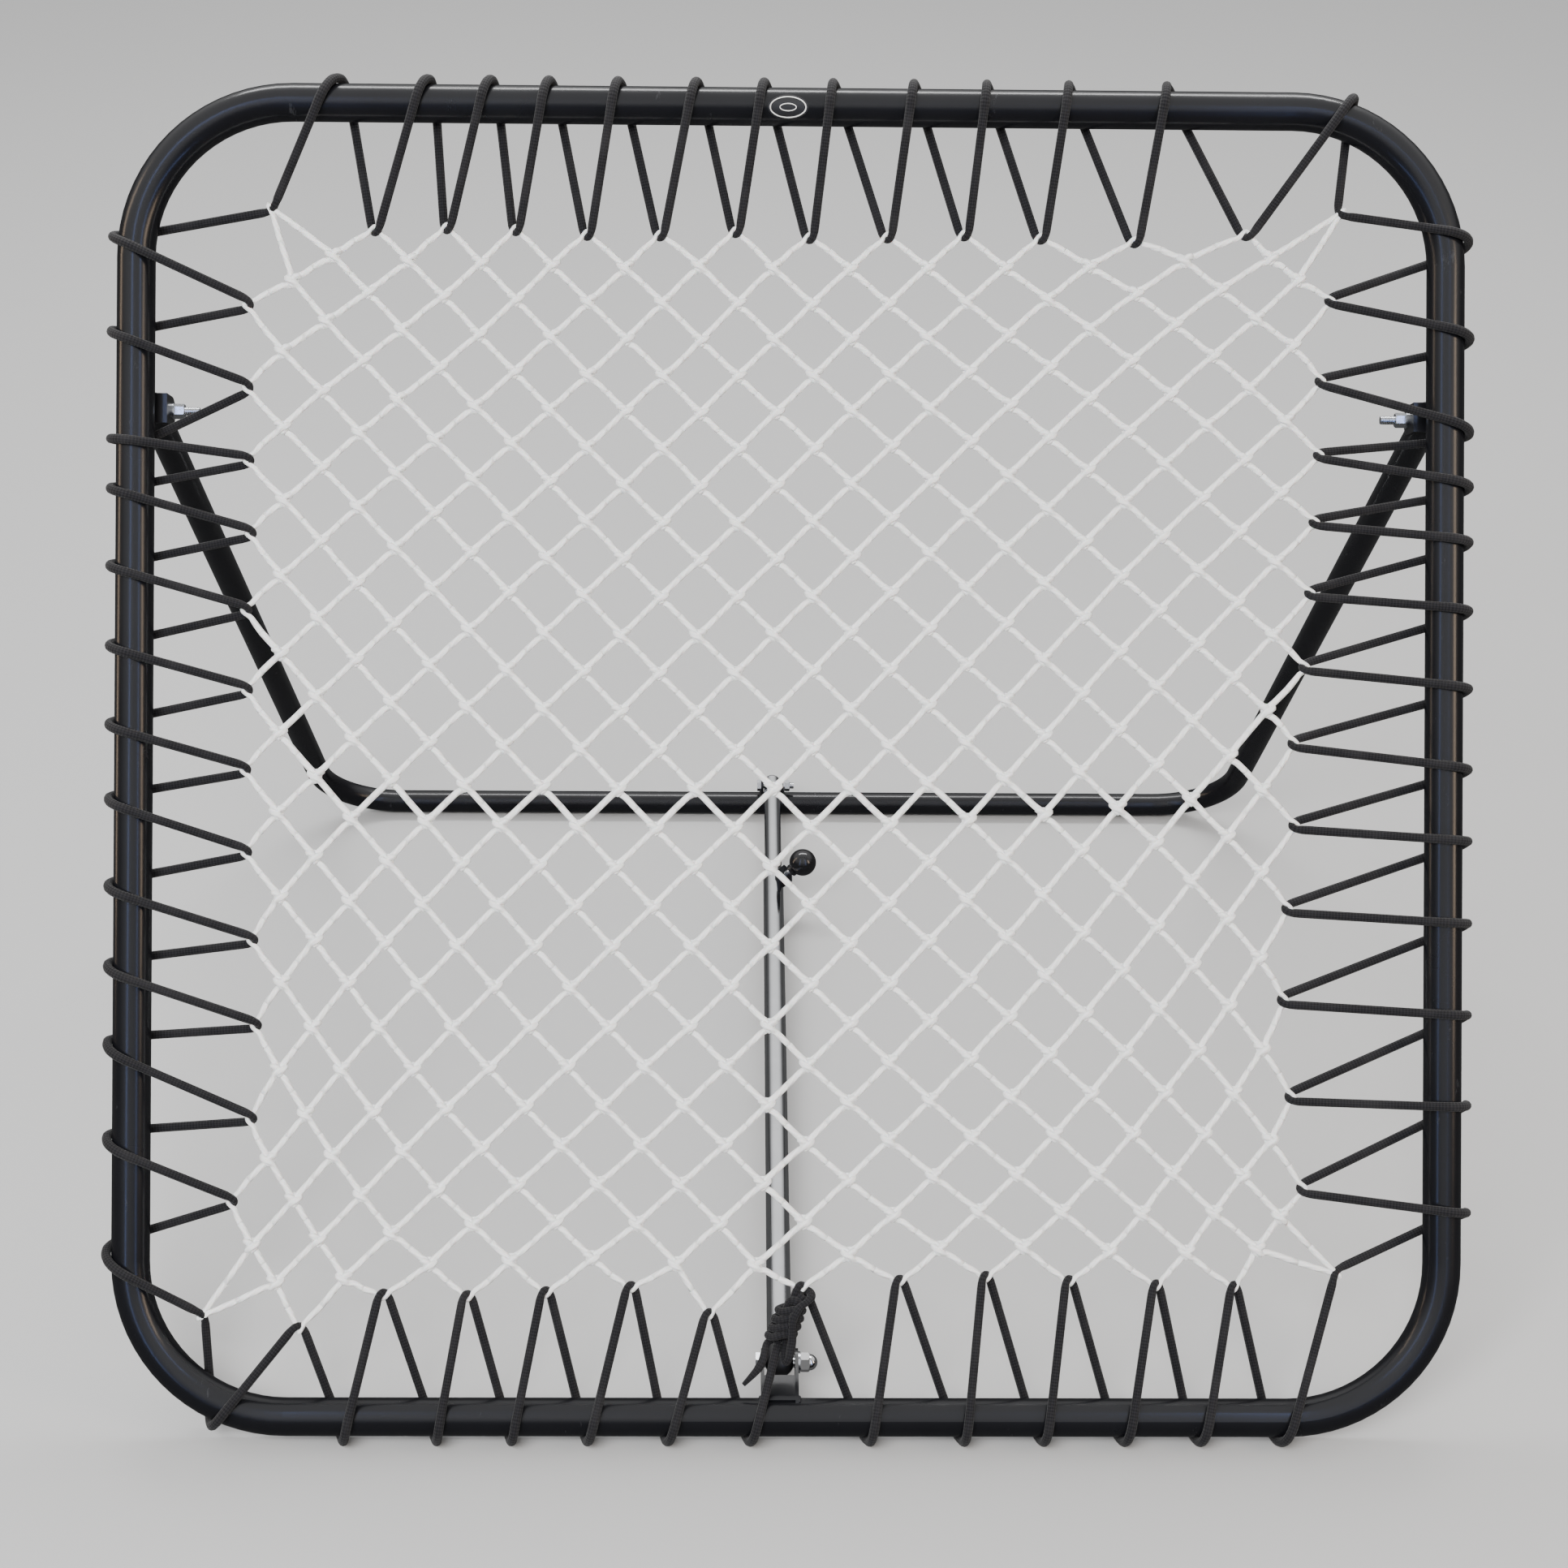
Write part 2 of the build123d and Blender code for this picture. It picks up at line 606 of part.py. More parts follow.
def crest_station(side, crest):
    """The tube's axis under a wrap, with its direction and its way out, also on a bend."""
    along, out = sides[side]
    half_length, distance = side_halves(side)
    place = crest * half_length / lacing_half
    straight = half_length - bend_radius
    beyond = abs(place) - straight
    if beyond <= 0:
        return along * place + out * distance, along, out
    turn = math.asin(min(beyond / (bend_radius + wrap_radius), 1))
    sign = math.copysign(1, place)
    way_out = out * math.cos(turn) + along * (sign * math.sin(turn))
    direction = along * math.cos(turn) - out * (sign * math.sin(turn))
    centre = along * (sign * straight) + out * (distance - bend_radius)
    return centre + way_out * bend_radius, direction, way_out


def half_wrap(station, end, face, exit_along=None):
    """Two corners of the path round half the tube, from the crest towards a point off the tube.

    face is 1 for the half over the tube's front and -1 for the half behind it.
    """
    centre, direction, way_out = station
    to_end = Vector(end.X, end.Y) - centre
    outward = to_end.dot(way_out)
    distance = math.hypot(outward, end.Z)
    turn = math.atan2(face * end.Z, outward) % (2 * math.pi) - math.acos(wrap_radius / distance)
    arc = wrap_radius * turn
    slope = to_end.dot(direction) / (arc + math.sqrt(distance**2 - wrap_radius**2))
    if exit_along is not None:
        slope = exit_along / arc
    corner_radius = wrap_radius / math.cos(turn / 4)
    corners = []
    for share in (0.25, 0.75):
        angle = turn * share
        flat = centre + way_out * (corner_radius * math.cos(angle)) + direction * (slope * arc * share)
        corners.append(Vector(flat.X, flat.Y, face * corner_radius * math.sin(angle)))
    return corners


def turn_points(before, hook, after):
    """The two corners of the cord's turn through a loop of the net."""
    across = ((hook - before).normalized() + (after - hook).normalized()).normalized()
    offset = across * hook_half_width
    first = hook - offset - Vector(0, 0, hook_lift)
    last = hook + offset + Vector(0, 0, hook_lift)
    return first, last


def wrap_exit(side, crest):
    """How far past its crest a wrap leaves the tube, where something holds it."""
    kept = wrap_exits.get((side, crest))
    return None if kept is None else (kept - crest) * side_halves(side)[0] / lacing_half


def lacing_run(side, start, hooks, end, crests):
    """Wraps and turns along one side, with the cord's radius at every corner."""
    stations = [crest_station(side, crest) for crest in crests]
    turns = []
    for i, hook in enumerate(hooks):
        turns.append(turn_points(stations[i][0], hook_place(side, hook), stations[i + 1][0]))
    leaving = [start] + [last for _, last in turns]
    arriving = [first for first, _ in turns] + [end]
    points = []
    for i, station in enumerate(stations):
        front = half_wrap(station, leaving[i], 1)
        back = half_wrap(station, arriving[i], -1, wrap_exit(side, crests[i]))
        points += [(point, wrap_radius * bend_share) for point in (front[1], front[0], back[0], back[1])]
        if i < len(turns):
            points += [(point, hook_radius) for point in turns[i]]
    return points


def lacing_solid(points, name):
    path = FilletPolyline(*[point for point, _ in points], radius=[radius for _, radius in points[1:-1]])
    print(name, "length", round(path.length), "smallest radius", min(radius for _, radius in points[1:-1]))
    return on_frame(rod_along(path, cord_od))


def corner_turn(name, before, after):
    """The cord's turn at a corner loop: its first corner, its middle and its last corner."""
    hook = corner_place(name)
    first, last = turn_points(before[0], hook, after[0])
    return first, hook, last


def make_lacing():
    bottom_first = crest_station("bottom", bottom_right_crests[0])
    bottom_last = crest_station("bottom", bottom_left_crests[-1])
    left_ends = [crest_station("left", left_crests[i]) for i in (0, -1)]
    top_ends = [crest_station("top", top_crests[i]) for i in (0, -1)]
    right_ends = [crest_station("right", right_crests[i]) for i in (0, -1)]
    corners = {
        "bottom_left": corner_turn("bottom_left", bottom_last, left_ends[0]),
        "top_left": corner_turn("top_left", left_ends[1], top_ends[0]),
        "top_right": corner_turn("top_right", top_ends[1], right_ends[0]),
        "bottom_right": corner_turn("bottom_right", right_ends[1], bottom_first),
    }
    plan = [
        ("lacing_left", "left", "bottom_left", left_hooks, "top_left", left_crests),
        ("lacing_top", "top", "top_left", top_hooks, "top_right", top_crests),
        ("lacing_right", "right", "top_right", right_hooks, "bottom_right", right_crests),
    ]
    for name, side, begin, hooks, finish, crests in plan:
        _, begin_middle, begin_last = corners[begin]
        finish_first, finish_middle, _ = corners[finish]
        run = lacing_run(side, begin_last, hooks, finish_first, crests)
        points = [(begin_middle, 0), (begin_last, hook_radius), *run]
        points += [(finish_first, hook_radius), (finish_middle, 0)]
        parts[name] = lacing_solid(points, name)

    low, high = knot_point(knot_low), knot_point(knot_high)
    middle = hook_place("bottom", bottom_middle_hook)
    lead_end = high + (middle - high).normalized() * knot_end_gap
    last_station = crest_station("bottom", bottom_right_crests[-1])
    first, last = turn_points(last_station[0], middle, lead_end)
    _, begin_middle, begin_last = corners["bottom_right"]
    run = lacing_run("bottom", begin_last, bottom_right_hooks, first, bottom_right_crests)
    points = [(begin_middle, 0), (begin_last, hook_radius), *run]
    points += [(first, hook_radius), (last, hook_radius), (lead_end, 0)]
    parts["lacing_bottom_right"] = lacing_solid(points, "lacing_bottom_right")

    first_station = crest_station("bottom", bottom_left_crests[0])
    lead_start = low - (low - first_station[0]).normalized() * knot_end_gap
    finish_first, finish_middle, _ = corners["bottom_left"]
    run = lacing_run("bottom", lead_start, bottom_left_hooks, finish_first, bottom_left_crests)
    points = [(lead_start, 0), *run, (finish_first, hook_radius), (finish_middle, 0)]
    parts["lacing_bottom_left"] = lacing_solid(points, "lacing_bottom_left")


def make_net():
    """The net as a thin panel whose outline runs from hook to hook."""
    inset = cord_od / 2 + net_gap
    outline = []
    order = [
        ("left", left_hooks, "top_left"),
        ("top", top_hooks, "top_right"),
        ("right", right_hooks, "bottom_right"),
        ("bottom", bottom_right_hooks + [bottom_middle_hook] + bottom_left_hooks, "bottom_left"),
    ]
    for side, hooks, corner in order:
        for along, depth in hooks:
            outline.append(hook_place(side, (along, depth + inset)))
        sign_x, sign_y = corner_signs[corner]
        outline.append(corner_place(corner) - Vector(sign_x, sign_y) * inset)
    face = make_face(Polyline(*outline, close=True))
    parts["net"] = on_frame(extrude(Pos(0, 0, -net_thickness / 2) * face, net_thickness))


def make_badge():
    """A thin oval plate bent round the front of the top tube."""
    ends = ((badge_x - badge_width, half_y, 0), (badge_x + badge_width, half_y, 0))
    shell = bar(*ends, tube_radius + badge_thickness) - bar(*ends, tube_radius)
    turn = math.radians(badge_turn)
    place = Plane(
        origin=(badge_x, half_y, 0), x_dir=(1, 0, 0), z_dir=(0, -math.sin(turn), math.cos(turn))
    )
    oval = extrude(place * Ellipse(badge_width / 2, badge_height / 2), 2 * tube_radius)
    parts["badge"] = on_frame(shell & oval)


make_frame()
make_pivots()
make_leg()
make_rear_clevis()
make_rear_bolt()
make_strut_outer()
make_strut_inner()
make_clamp()
make_front_bracket()
make_front_bolt()
make_knot()
make_lacing()
make_net()
make_badge()

# The origin is on the ground, under the middle of the whole object.
whole = Compound(list(parts.values())).bounding_box()
shift = Location((-(whole.min.X + whole.max.X) / 2, -(whole.min.Y + whole.max.Y) / 2, -whole.min.Z))
for name, shape in parts.items():
    export_step(shift * shape, f"parts/{name}.step")

for name, place in {
    "shift": shift.position,
    "leg pivot": Vector(0, pivot_y, pivot_z) + shift.position,
    "front strut pin": Vector(strut_x, strut_pin_back, strut_pin_z) + shift.position,
    "rear strut pin": Vector(strut_x, rear_pin_y, strut_pin_z) + shift.position,
    "clamp ball": strut_point(clamp_ball_reach) + shift.position,
    "size": whole.size,
}.items():
    print(name, place)
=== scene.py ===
"""Pitch back rebounder: the looks round the CAD frame, in metres."""
import json
import math
import random

import bpy
import numpy as np
from mathutils import Matrix, Vector


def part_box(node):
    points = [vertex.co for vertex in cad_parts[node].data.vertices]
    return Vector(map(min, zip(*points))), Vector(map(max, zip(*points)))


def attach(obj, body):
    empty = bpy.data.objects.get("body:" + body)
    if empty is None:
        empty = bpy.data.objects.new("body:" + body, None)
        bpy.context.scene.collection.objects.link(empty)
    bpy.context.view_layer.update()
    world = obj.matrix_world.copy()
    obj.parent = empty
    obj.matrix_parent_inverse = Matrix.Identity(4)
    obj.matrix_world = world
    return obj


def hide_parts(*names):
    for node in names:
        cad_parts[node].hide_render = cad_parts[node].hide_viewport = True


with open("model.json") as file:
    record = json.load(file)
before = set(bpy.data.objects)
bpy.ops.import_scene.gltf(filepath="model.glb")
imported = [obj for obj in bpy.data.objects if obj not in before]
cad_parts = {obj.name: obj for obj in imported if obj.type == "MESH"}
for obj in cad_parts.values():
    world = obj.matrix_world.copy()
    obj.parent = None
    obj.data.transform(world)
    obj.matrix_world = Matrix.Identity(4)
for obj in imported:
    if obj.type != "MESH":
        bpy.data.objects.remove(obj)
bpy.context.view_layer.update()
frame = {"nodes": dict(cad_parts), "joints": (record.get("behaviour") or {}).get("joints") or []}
nodes = frame["nodes"]
joints = {joint["name"]: joint for joint in frame["joints"]}
MM = 0.001

# ---------------------------------------------------------------- sizes, chosen or from the CAD frame

TUBE_R = 14.0 * MM
LEG_R = 11.0 * MM
CORD_R = 3.3 * MM  # of the cord on its straight runs
WRAP_R = 3.55 * MM  # of the cord where it goes round the tube
CORD_GAP = 0.2 * MM  # between the cord and the tube
TWINE_R = 2.4 * MM  # of the net's twine
TURN_R = 2.8 * MM  # of the cord where it is pinched in a loop of the net
HOOK_HALF = 2.4 * MM  # half the width of the cord's turn there
HOOK_LIFT = 3.1 * MM  # of the turn's legs, one in front of the net and one behind
LOOP_R = 1.8 * MM  # of the twine in that loop
BEND_R = 115.0 * MM  # of the frame tube's axis at the corners
CORD_SIDES = 12
TWINE_SIDES = 8

low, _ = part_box("frame_left_tube")
_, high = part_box("frame_right_tube")
HALF_X = high[0] - TUBE_R
bottom_axis = Vector((0, low[1] + TUBE_R, low[2] + TUBE_R))
top_axis = Vector((0, high[1] - TUBE_R, high[2] - TUBE_R))
HALF_Y = (top_axis - bottom_axis).length / 2
FRAME_UP = (top_axis - bottom_axis).normalized()
FRAME_OUT = Vector((1, 0, 0)).cross(FRAME_UP)  # out of the front of the leaning frame
FRAME_MID = (top_axis + bottom_axis) / 2
frame_matrix = Matrix(
    (
        (1, FRAME_UP.x, FRAME_OUT.x, FRAME_MID.x),
        (0, FRAME_UP.y, FRAME_OUT.y, FRAME_MID.y),
        (0, FRAME_UP.z, FRAME_OUT.z, FRAME_MID.z),
        (0, 0, 0, 1),
    )
)
to_frame = frame_matrix.inverted()
rear_pin = Vector(joints["strut_rear_pivot"]["pos_m"])
leg_pin = Vector(joints["rear_leg_fold"]["pos_m"])

# The lacing, side by side: (distance along the side in the cord's direction, distance in from the
# tube's axis) in millimetres, as chosen for the CAD's cord.
HOOKS = {
    "top": [(-310, 96), (-257, 94), (-206, 95), (-153, 98), (-99, 98), (-43, 95),
            (12, 99), (70, 98), (127, 96), (184, 98), (254, 100), (337, 94)],
    "right": [(-345, 88), (-285, 95), (-230, 96), (-180, 99), (-127, 102), (-72, 106),
              (-15, 114), (46, 113), (108, 118), (176, 121), (248, 115), (316, 106)],
    "bottom_right": [(-331, 99), (-273, 100), (-208, 103), (-146, 106), (-82, 103)],
    "bottom_left": [(59, 78), (117, 98), (180, 94), (238, 91), (300, 92), (362, 67)],
    "left": [(-327, 76), (-266, 90), (-197, 93), (-134, 90), (-69, 85), (-8, 84),
             (51, 85), (110, 84), (167, 87), (221, 85), (275, 84), (336, 84)],
}
CRESTS = {
    "top": [-336, -270, -224, -181, -130, -72, -22, 29, 89, 143, 204, 277, 417],
    "right": [-388, -316, -246, -206, -165, -114, -56, 4, 57, 118, 186, 253, 333],
    "bottom_right": [-365, -305, -249, -189, -130, -60],
    "bottom_left": [29, 90, 149, 205, 260, 329, 426],
    "left": [-363, -279, -209, -152, -93, -29, 26, 84, 143, 200, 236, 316, 386],
}
HELD_WRAP = ("left", 236, 237.0)  # a wrap that the left pivot bracket holds down, and its exit
MIDDLE_HOOK = (-9, 98)
CORNERS = {"top_left": (100, 79), "top_right": (79, 76), "bottom_right": (79, 108), "bottom_left": (53, 75)}
CORNER_SIGNS = {"top_left": (-1, 1), "top_right": (1, 1), "bottom_right": (1, -1), "bottom_left": (-1, -1)}
SIDES = {
    "top": (Vector((1, 0)), Vector((0, 1))),
    "right": (Vector((0, -1)), Vector((1, 0))),
    "bottom": (Vector((-1, 0)), Vector((0, -1))),
    "left": (Vector((0, 1)), Vector((-1, 0))),
}

# ---------------------------------------------------------------- mesh helpers


def new_object(name, mesh, material, body):
    obj = bpy.data.objects.new(name, mesh)
    bpy.context.scene.collection.objects.link(obj)
    mesh.materials.append(material)
    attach(obj, body)
    return obj


def smooth(mesh):
    mesh.polygons.foreach_set("use_smooth", [True] * len(mesh.polygons))
    mesh.update()


ANY_DIRECTION = (0.31, 0.52, 0.79)  # along none of the object's straight runs


def ring_frames(points):
    """A sideways direction and its partner at each point, carried along the path without twist."""
    tangents = np.gradient(points, axis=0)
    tangents /= np.linalg.norm(tangents, axis=1)[:, None]
    start = np.cross(tangents[0], ANY_DIRECTION)
    across = [start / np.linalg.norm(start)]
    for tangent in tangents[1:]:
        carried = across[-1] - tangent * np.dot(across[-1], tangent)
        across.append(carried / np.linalg.norm(carried))
    across = np.array(across)
    return across, np.cross(tangents, across)


def tube_mesh(name, paths, radii, sides=10, caps=True):
    """Round tubes along point lists. The UVs are metres along and turns round."""
    verts, faces, uvs = [], [], []
    turn = np.linspace(0, 2 * math.pi, sides, endpoint=False)
    for path, radius in zip(paths, radii):
        points = np.array([tuple(point) for point in path])
        radius = np.broadcast_to(radius, len(points))
        across, partner = ring_frames(points)
        ring = across[:, None] * np.cos(turn)[None, :, None]
        ring = ring + partner[:, None] * np.sin(turn)[None, :, None]
        base = sum(len(block) for block in verts)
        verts.append((points[:, None] + ring * radius[:, None, None]).reshape(-1, 3))
        along = np.concatenate(([0], np.cumsum(np.linalg.norm(np.diff(points, axis=0), axis=1))))
        for i in range(len(points) - 1):
            for k in range(sides):
                after = (k + 1) % sides
                low_row, high_row = base + i * sides, base + (i + 1) * sides
                faces.append((low_row + k, low_row + after, high_row + after, high_row + k))
                uvs += [(along[i], k / sides), (along[i], (k + 1) / sides)]
                uvs += [(along[i + 1], (k + 1) / sides), (along[i + 1], k / sides)]
        if caps:
            last = base + (len(points) - 1) * sides
            faces.append(tuple(base + k for k in reversed(range(sides))))
            faces.append(tuple(last + k for k in range(sides)))
            uvs += [(along[0], 0)] * sides + [(along[-1], 0)] * sides
    mesh = bpy.data.meshes.new(name)
    mesh.from_pydata(np.concatenate(verts).tolist(), [], faces)
    layer = mesh.uv_layers.new(name="lay")
    layer.data.foreach_set("uv", np.array(uvs, dtype=np.float32).ravel())
    smooth(mesh)
    return mesh


def place_on_frame(points):
    return [frame_matrix @ Vector(point) for point in points]


# ---------------------------------------------------------------- materials


class Shader:
    """A material with a Principled shader and short ways to wire its nodes."""

    def __init__(self, name, colour, roughness, metallic=0.0, **sockets):
        self.material = bpy.data.materials.new(name)
        self.material.use_nodes = True
        self.material.diffuse_color = (*colour, 1)
        self.tree = self.material.node_tree
        self.bsdf = self.tree.nodes["Principled BSDF"]
        self.bsdf.inputs["Base Color"].default_value = (*colour, 1)
        self.bsdf.inputs["Roughness"].default_value = roughness
        self.bsdf.inputs["Metallic"].default_value = metallic
        for socket, value in sockets.items():
            self.bsdf.inputs[socket.replace("_", " ")].default_value = value

    def node(self, kind, inputs=None, **settings):
        made = self.tree.nodes.new(kind)
        for key, value in settings.items():
            setattr(made, key, value)
        for key, value in (inputs or {}).items():
            if isinstance(value, bpy.types.NodeSocket):
                self.tree.links.new(value, made.inputs[key])
            else:
                made.inputs[key].default_value = value
        return made

    def object_coords(self, scale=(1, 1, 1)):
        coords = self.node("ShaderNodeTexCoord").outputs["Object"]
        return self.node("ShaderNodeMapping", {"Vector": coords, "Scale": scale}).outputs["Vector"]

    def noise(self, scale, detail=3.0, vector=None, roughness=0.5):
        vector = vector or self.object_coords()
        inputs = {"Vector": vector, "Scale": scale, "Detail": detail, "Roughness": roughness}
        return self.node("ShaderNodeTexNoise", inputs).outputs["Fac"]

    def math(self, operation, a, b=0.0):
        return self.node("ShaderNodeMath", {0: a, 1: b}, operation=operation).outputs[0]

    def map(self, value, low_out, high_out, low_in=0.0, high_in=1.0):
        inputs = {"Value": value, "From Min": low_in, "From Max": high_in}
        inputs.update({"To Min": low_out, "To Max": high_out})
        return self.node("ShaderNodeMapRange", inputs).outputs["Result"]

    def mix(self, fac, low_colour, high_colour):
        made = self.node("ShaderNodeMix", data_type="RGBA")
        self.tree.links.new(fac, made.inputs["Factor"])
        for socket, value in (("A", low_colour), ("B", high_colour)):
            target = [s for s in made.inputs if s.name == socket and s.type == "RGBA"][0]
            if isinstance(value, bpy.types.NodeSocket):
                self.tree.links.new(value, target)
            else:
                target.default_value = (*value, 1)
        return [s for s in made.outputs if s.type == "RGBA"][0]

    def to(self, socket, value):
        self.tree.links.new(value, self.bsdf.inputs[socket])

    def bump(self, height, distance, strength=1.0):
        made = self.node("ShaderNodeBump", {"Height": height, "Distance": distance, "Strength": strength})
        self.to("Normal", made.outputs["Normal"])


RUBBED_COAT = (0.035, 0.036, 0.04)


def scaled(colour, share):
    return tuple(c * share for c in colour)


def powder_coat(name, colour, rough):
    """Black powder coat: orange peel, faint cloudiness, dust and rub marks."""
    shader = Shader(name, colour, rough, Specular_IOR_Level=0.36, Coat_Weight=0.12, Coat_Roughness=0.12)
    peel = shader.noise(850, 2.0)
    cloud = shader.noise(14, 4.0)
    rub = shader.noise(90, 5.0, shader.object_coords((1.0, 0.35, 0.35)), 0.7)
    scuffs = shader.map(rub, 0.0, 1.0, 0.66, 0.78)
    tone = shader.mix(cloud, scaled(colour, 0.75), scaled(colour, 1.35))
    shader.to("Base Color", shader.mix(scuffs, tone, RUBBED_COAT))
    cloudy = shader.map(cloud, rough - 0.06, rough + 0.08)
    shader.to("Roughness", shader.math("ADD", cloudy, shader.map(scuffs, 0, 0.16)))
    shader.bump(shader.math("ADD", peel, shader.map(rub, 0, 0.25)), 0.00006, 0.5)
    return shader.material


def plated(name, colour, rough, streak):
    """Plated steel: drawn streaks along the part, faint blotches and handling marks."""
    shader = Shader(name, colour, rough, 1.0)
    lines = shader.noise(420, 3.0, shader.object_coords(streak), 0.6)
    blotch = shader.noise(55, 4.0)
    marks = shader.map(shader.noise(160, 6.0, None, 0.75), 0.0, 1.0, 0.62, 0.8)
    tone = shader.mix(blotch, scaled(colour, 0.82), colour)
    shader.to("Base Color", shader.mix(marks, tone, scaled(colour, 0.6)))
    streaky = shader.map(lines, rough * 0.6, rough * 1.5)
    shader.to("Roughness", shader.math("ADD", streaky, shader.map(marks, 0, 0.12)))
    shader.bump(lines, 0.00002, 0.35)
    return shader.material


def moulded(name, colour, rough, grain=600):
    """Moulded black plastic: fine grain and slight sheen changes."""
    shader = Shader(name, colour, rough, Specular_IOR_Level=0.5)
    fine = shader.noise(grain, 2.0)
    cloud = shader.noise(60, 4.0)
    shader.to("Base Color", shader.mix(cloud, scaled(colour, 0.7), scaled(colour, 1.5)))
    shader.to("Roughness", shader.map(cloud, rough - 0.05, rough + 0.1))
    shader.bump(fine, 0.00005, 0.4)
    return shader.material


BRAID_PITCH = 4.6 * MM  # along the cord, of one yarn's turn
BRAID_YARNS = 6
TWIST_PITCH = 11.0 * MM  # along the twine, of one ply's turn
TWIST_PLIES = 3


def elastic_cord():
    """A braided textile sheath: two sets of crossing yarns round a rubber core."""
    shader = Shader("elastic_cord", (0.011, 0.0105, 0.012), 0.78, Sheen_Weight=0.08, Sheen_Roughness=0.45,
                    Specular_IOR_Level=0.3)
    lay = shader.node("ShaderNodeUVMap", uv_map="lay").outputs["UV"]
    split = shader.node("ShaderNodeSeparateXYZ", {"Vector": lay})
    along = shader.math("MULTIPLY", split.outputs["X"], 2 * math.pi / BRAID_PITCH)
    around = shader.math("MULTIPLY", split.outputs["Y"], 2 * math.pi * BRAID_YARNS)
    right = shader.math("SINE", shader.math("ADD", around, along))
    left = shader.math("SINE", shader.math("SUBTRACT", around, along))
    weave = shader.map(shader.math("MULTIPLY", right, left), 0, 1, -1, 1)
    fibres = shader.noise(2600, 3.0)
    wear = shader.noise(38, 4.0)
    height = shader.math("ADD", weave, shader.math("MULTIPLY", fibres, 0.5))
    # The braid's valleys are painted darker as shade and its crests lighter; the fibre noise adds real dark
    # and light flecks.
    painted_shade_and_flecks = shader.map(height, 0.0, 1.0, 0.1, 1.3)
    tone = shader.mix(painted_shade_and_flecks, (0.003, 0.003, 0.0035), (0.0185, 0.0178, 0.0195))
    shader.to("Base Color", shader.mix(shader.map(wear, 0, 0.5, 0.45, 0.75), tone, (0.026, 0.025, 0.026)))
    shader.to("Roughness", shader.map(weave, 0.85, 0.66))
    shader.bump(height, 0.0005, 0.8)
    return shader.material


def net_twine():
    """White twisted nylon twine."""
    shader = Shader("net_twine", (0.96, 0.96, 0.95), 0.55, Sheen_Weight=0.2, Sheen_Roughness=0.4,
                    Subsurface_Weight=0.08, Subsurface_Scale=0.003)
    lay = shader.node("ShaderNodeUVMap", uv_map="lay").outputs["UV"]
    split = shader.node("ShaderNodeSeparateXYZ", {"Vector": lay})
    along = shader.math("MULTIPLY", split.outputs["X"], 2 * math.pi / TWIST_PITCH)
    around = shader.math("MULTIPLY", split.outputs["Y"], 2 * math.pi * TWIST_PLIES)
    plies = shader.map(shader.math("SINE", shader.math("ADD", around, along)), 0, 1, -1, 1)
    fibres = shader.noise(1900, 3.0)
    soil = shader.noise(9, 4.0)
    height = shader.math("ADD", plies, shader.math("MULTIPLY", fibres, 0.35))
    # The grooves between the plies are painted darker as shade and the ply crests lighter.
    tone = shader.mix(shader.map(plies, 0.3, 1.0), (0.86, 0.86, 0.85), (0.97, 0.97, 0.965))
    shader.to("Base Color", shader.mix(shader.map(soil, 0, 0.25, 0.5, 0.8), tone, (0.88, 0.87, 0.84)))
    shader.to("Roughness", shader.map(fibres, 0.45, 0.7))
    shader.bump(height, 0.0006, 0.6)
    return shader.material


M = {
    "tube": powder_coat("black_powder_coat", (0.0055, 0.0057, 0.0072), 0.24),
    "plate": powder_coat("black_coated_plate", (0.006, 0.0062, 0.0078), 0.3),
    "chrome": plated("chrome_tube", (0.78, 0.79, 0.81), 0.1, (1.0, 0.04, 1.0)),
    "polished": plated("polished_chrome", (0.88, 0.88, 0.89), 0.06, (1.0, 1.0, 1.0)),
    "zinc": plated("bright_zinc", (0.74, 0.76, 0.79), 0.24, (1.0, 1.0, 1.0)),
    "steel": plated("bare_steel", (0.5, 0.5, 0.5), 0.35, (0.1, 1.0, 1.0)),
    "screw": moulded("black_screw_finish", (0.02, 0.02, 0.022), 0.38),
    "plastic": moulded("black_plastic", (0.014, 0.014, 0.015), 0.4),
    "knob": moulded("gloss_knob", (0.008, 0.008, 0.009), 0.13, 250),
    "cord": elastic_cord(),
    "twine": net_twine(),
    "mark": moulded("pale_print", (0.78, 0.78, 0.76), 0.35),
    "weld": powder_coat("coated_weld", (0.016, 0.0165, 0.019), 0.4),
}
NODE_MATERIALS = {
    "tube": ["frame_left_tube", "frame_right_tube", "rear_leg_left", "rear_leg_right"],
    "plate": ["pivot_bracket_left", "pivot_bracket_right", "front_strut_bracket", "rear_clevis",
              "clamp_boss"],
    "chrome": ["strut_outer_tube", "strut_inner_tube"],
    "polished": ["front_dome_nut"],
    "zinc": ["pivot_bolts", "pivot_washers", "pivot_nuts", "front_strut_bolt", "front_strut_washer",
             "rear_strut_bolt", "rear_strut_washer", "rear_strut_nut", "clamp_screw"],
    "steel": ["frame_sleeves", "rear_leg_sleeve"],
    "screw": ["frame_joint_screws"],
    "plastic": ["strut_front_cap", "strut_rear_plug", "leg_plug_left", "leg_plug_right", "badge"],
    "knob": ["clamp_knob"],
}
for key, names in NODE_MATERIALS.items():
    for node_name in names:
        for slot in nodes[node_name].material_slots:
            slot.material = M[key]

# ---------------------------------------------------------------- the cord's route

WRAP_STEPS = 12  # in half a wrap
TURN_STEPS = 12
RUN_STEP = 9 * MM  # between points on a straight run
TURN_REACH = 6 * MM  # from a turn's corner to where its run ends
TURN_PULL = 1.33  # of a turn's control points past its corners, over TURN_REACH


def side_halves(side):
    return (HALF_X, HALF_Y) if side in ("top", "bottom") else (HALF_Y, HALF_X)


def hook_place(side, hook):
    along, out = SIDES[side]
    return along * (hook[0] * MM) + out * (side_halves(side)[1] - hook[1] * MM)


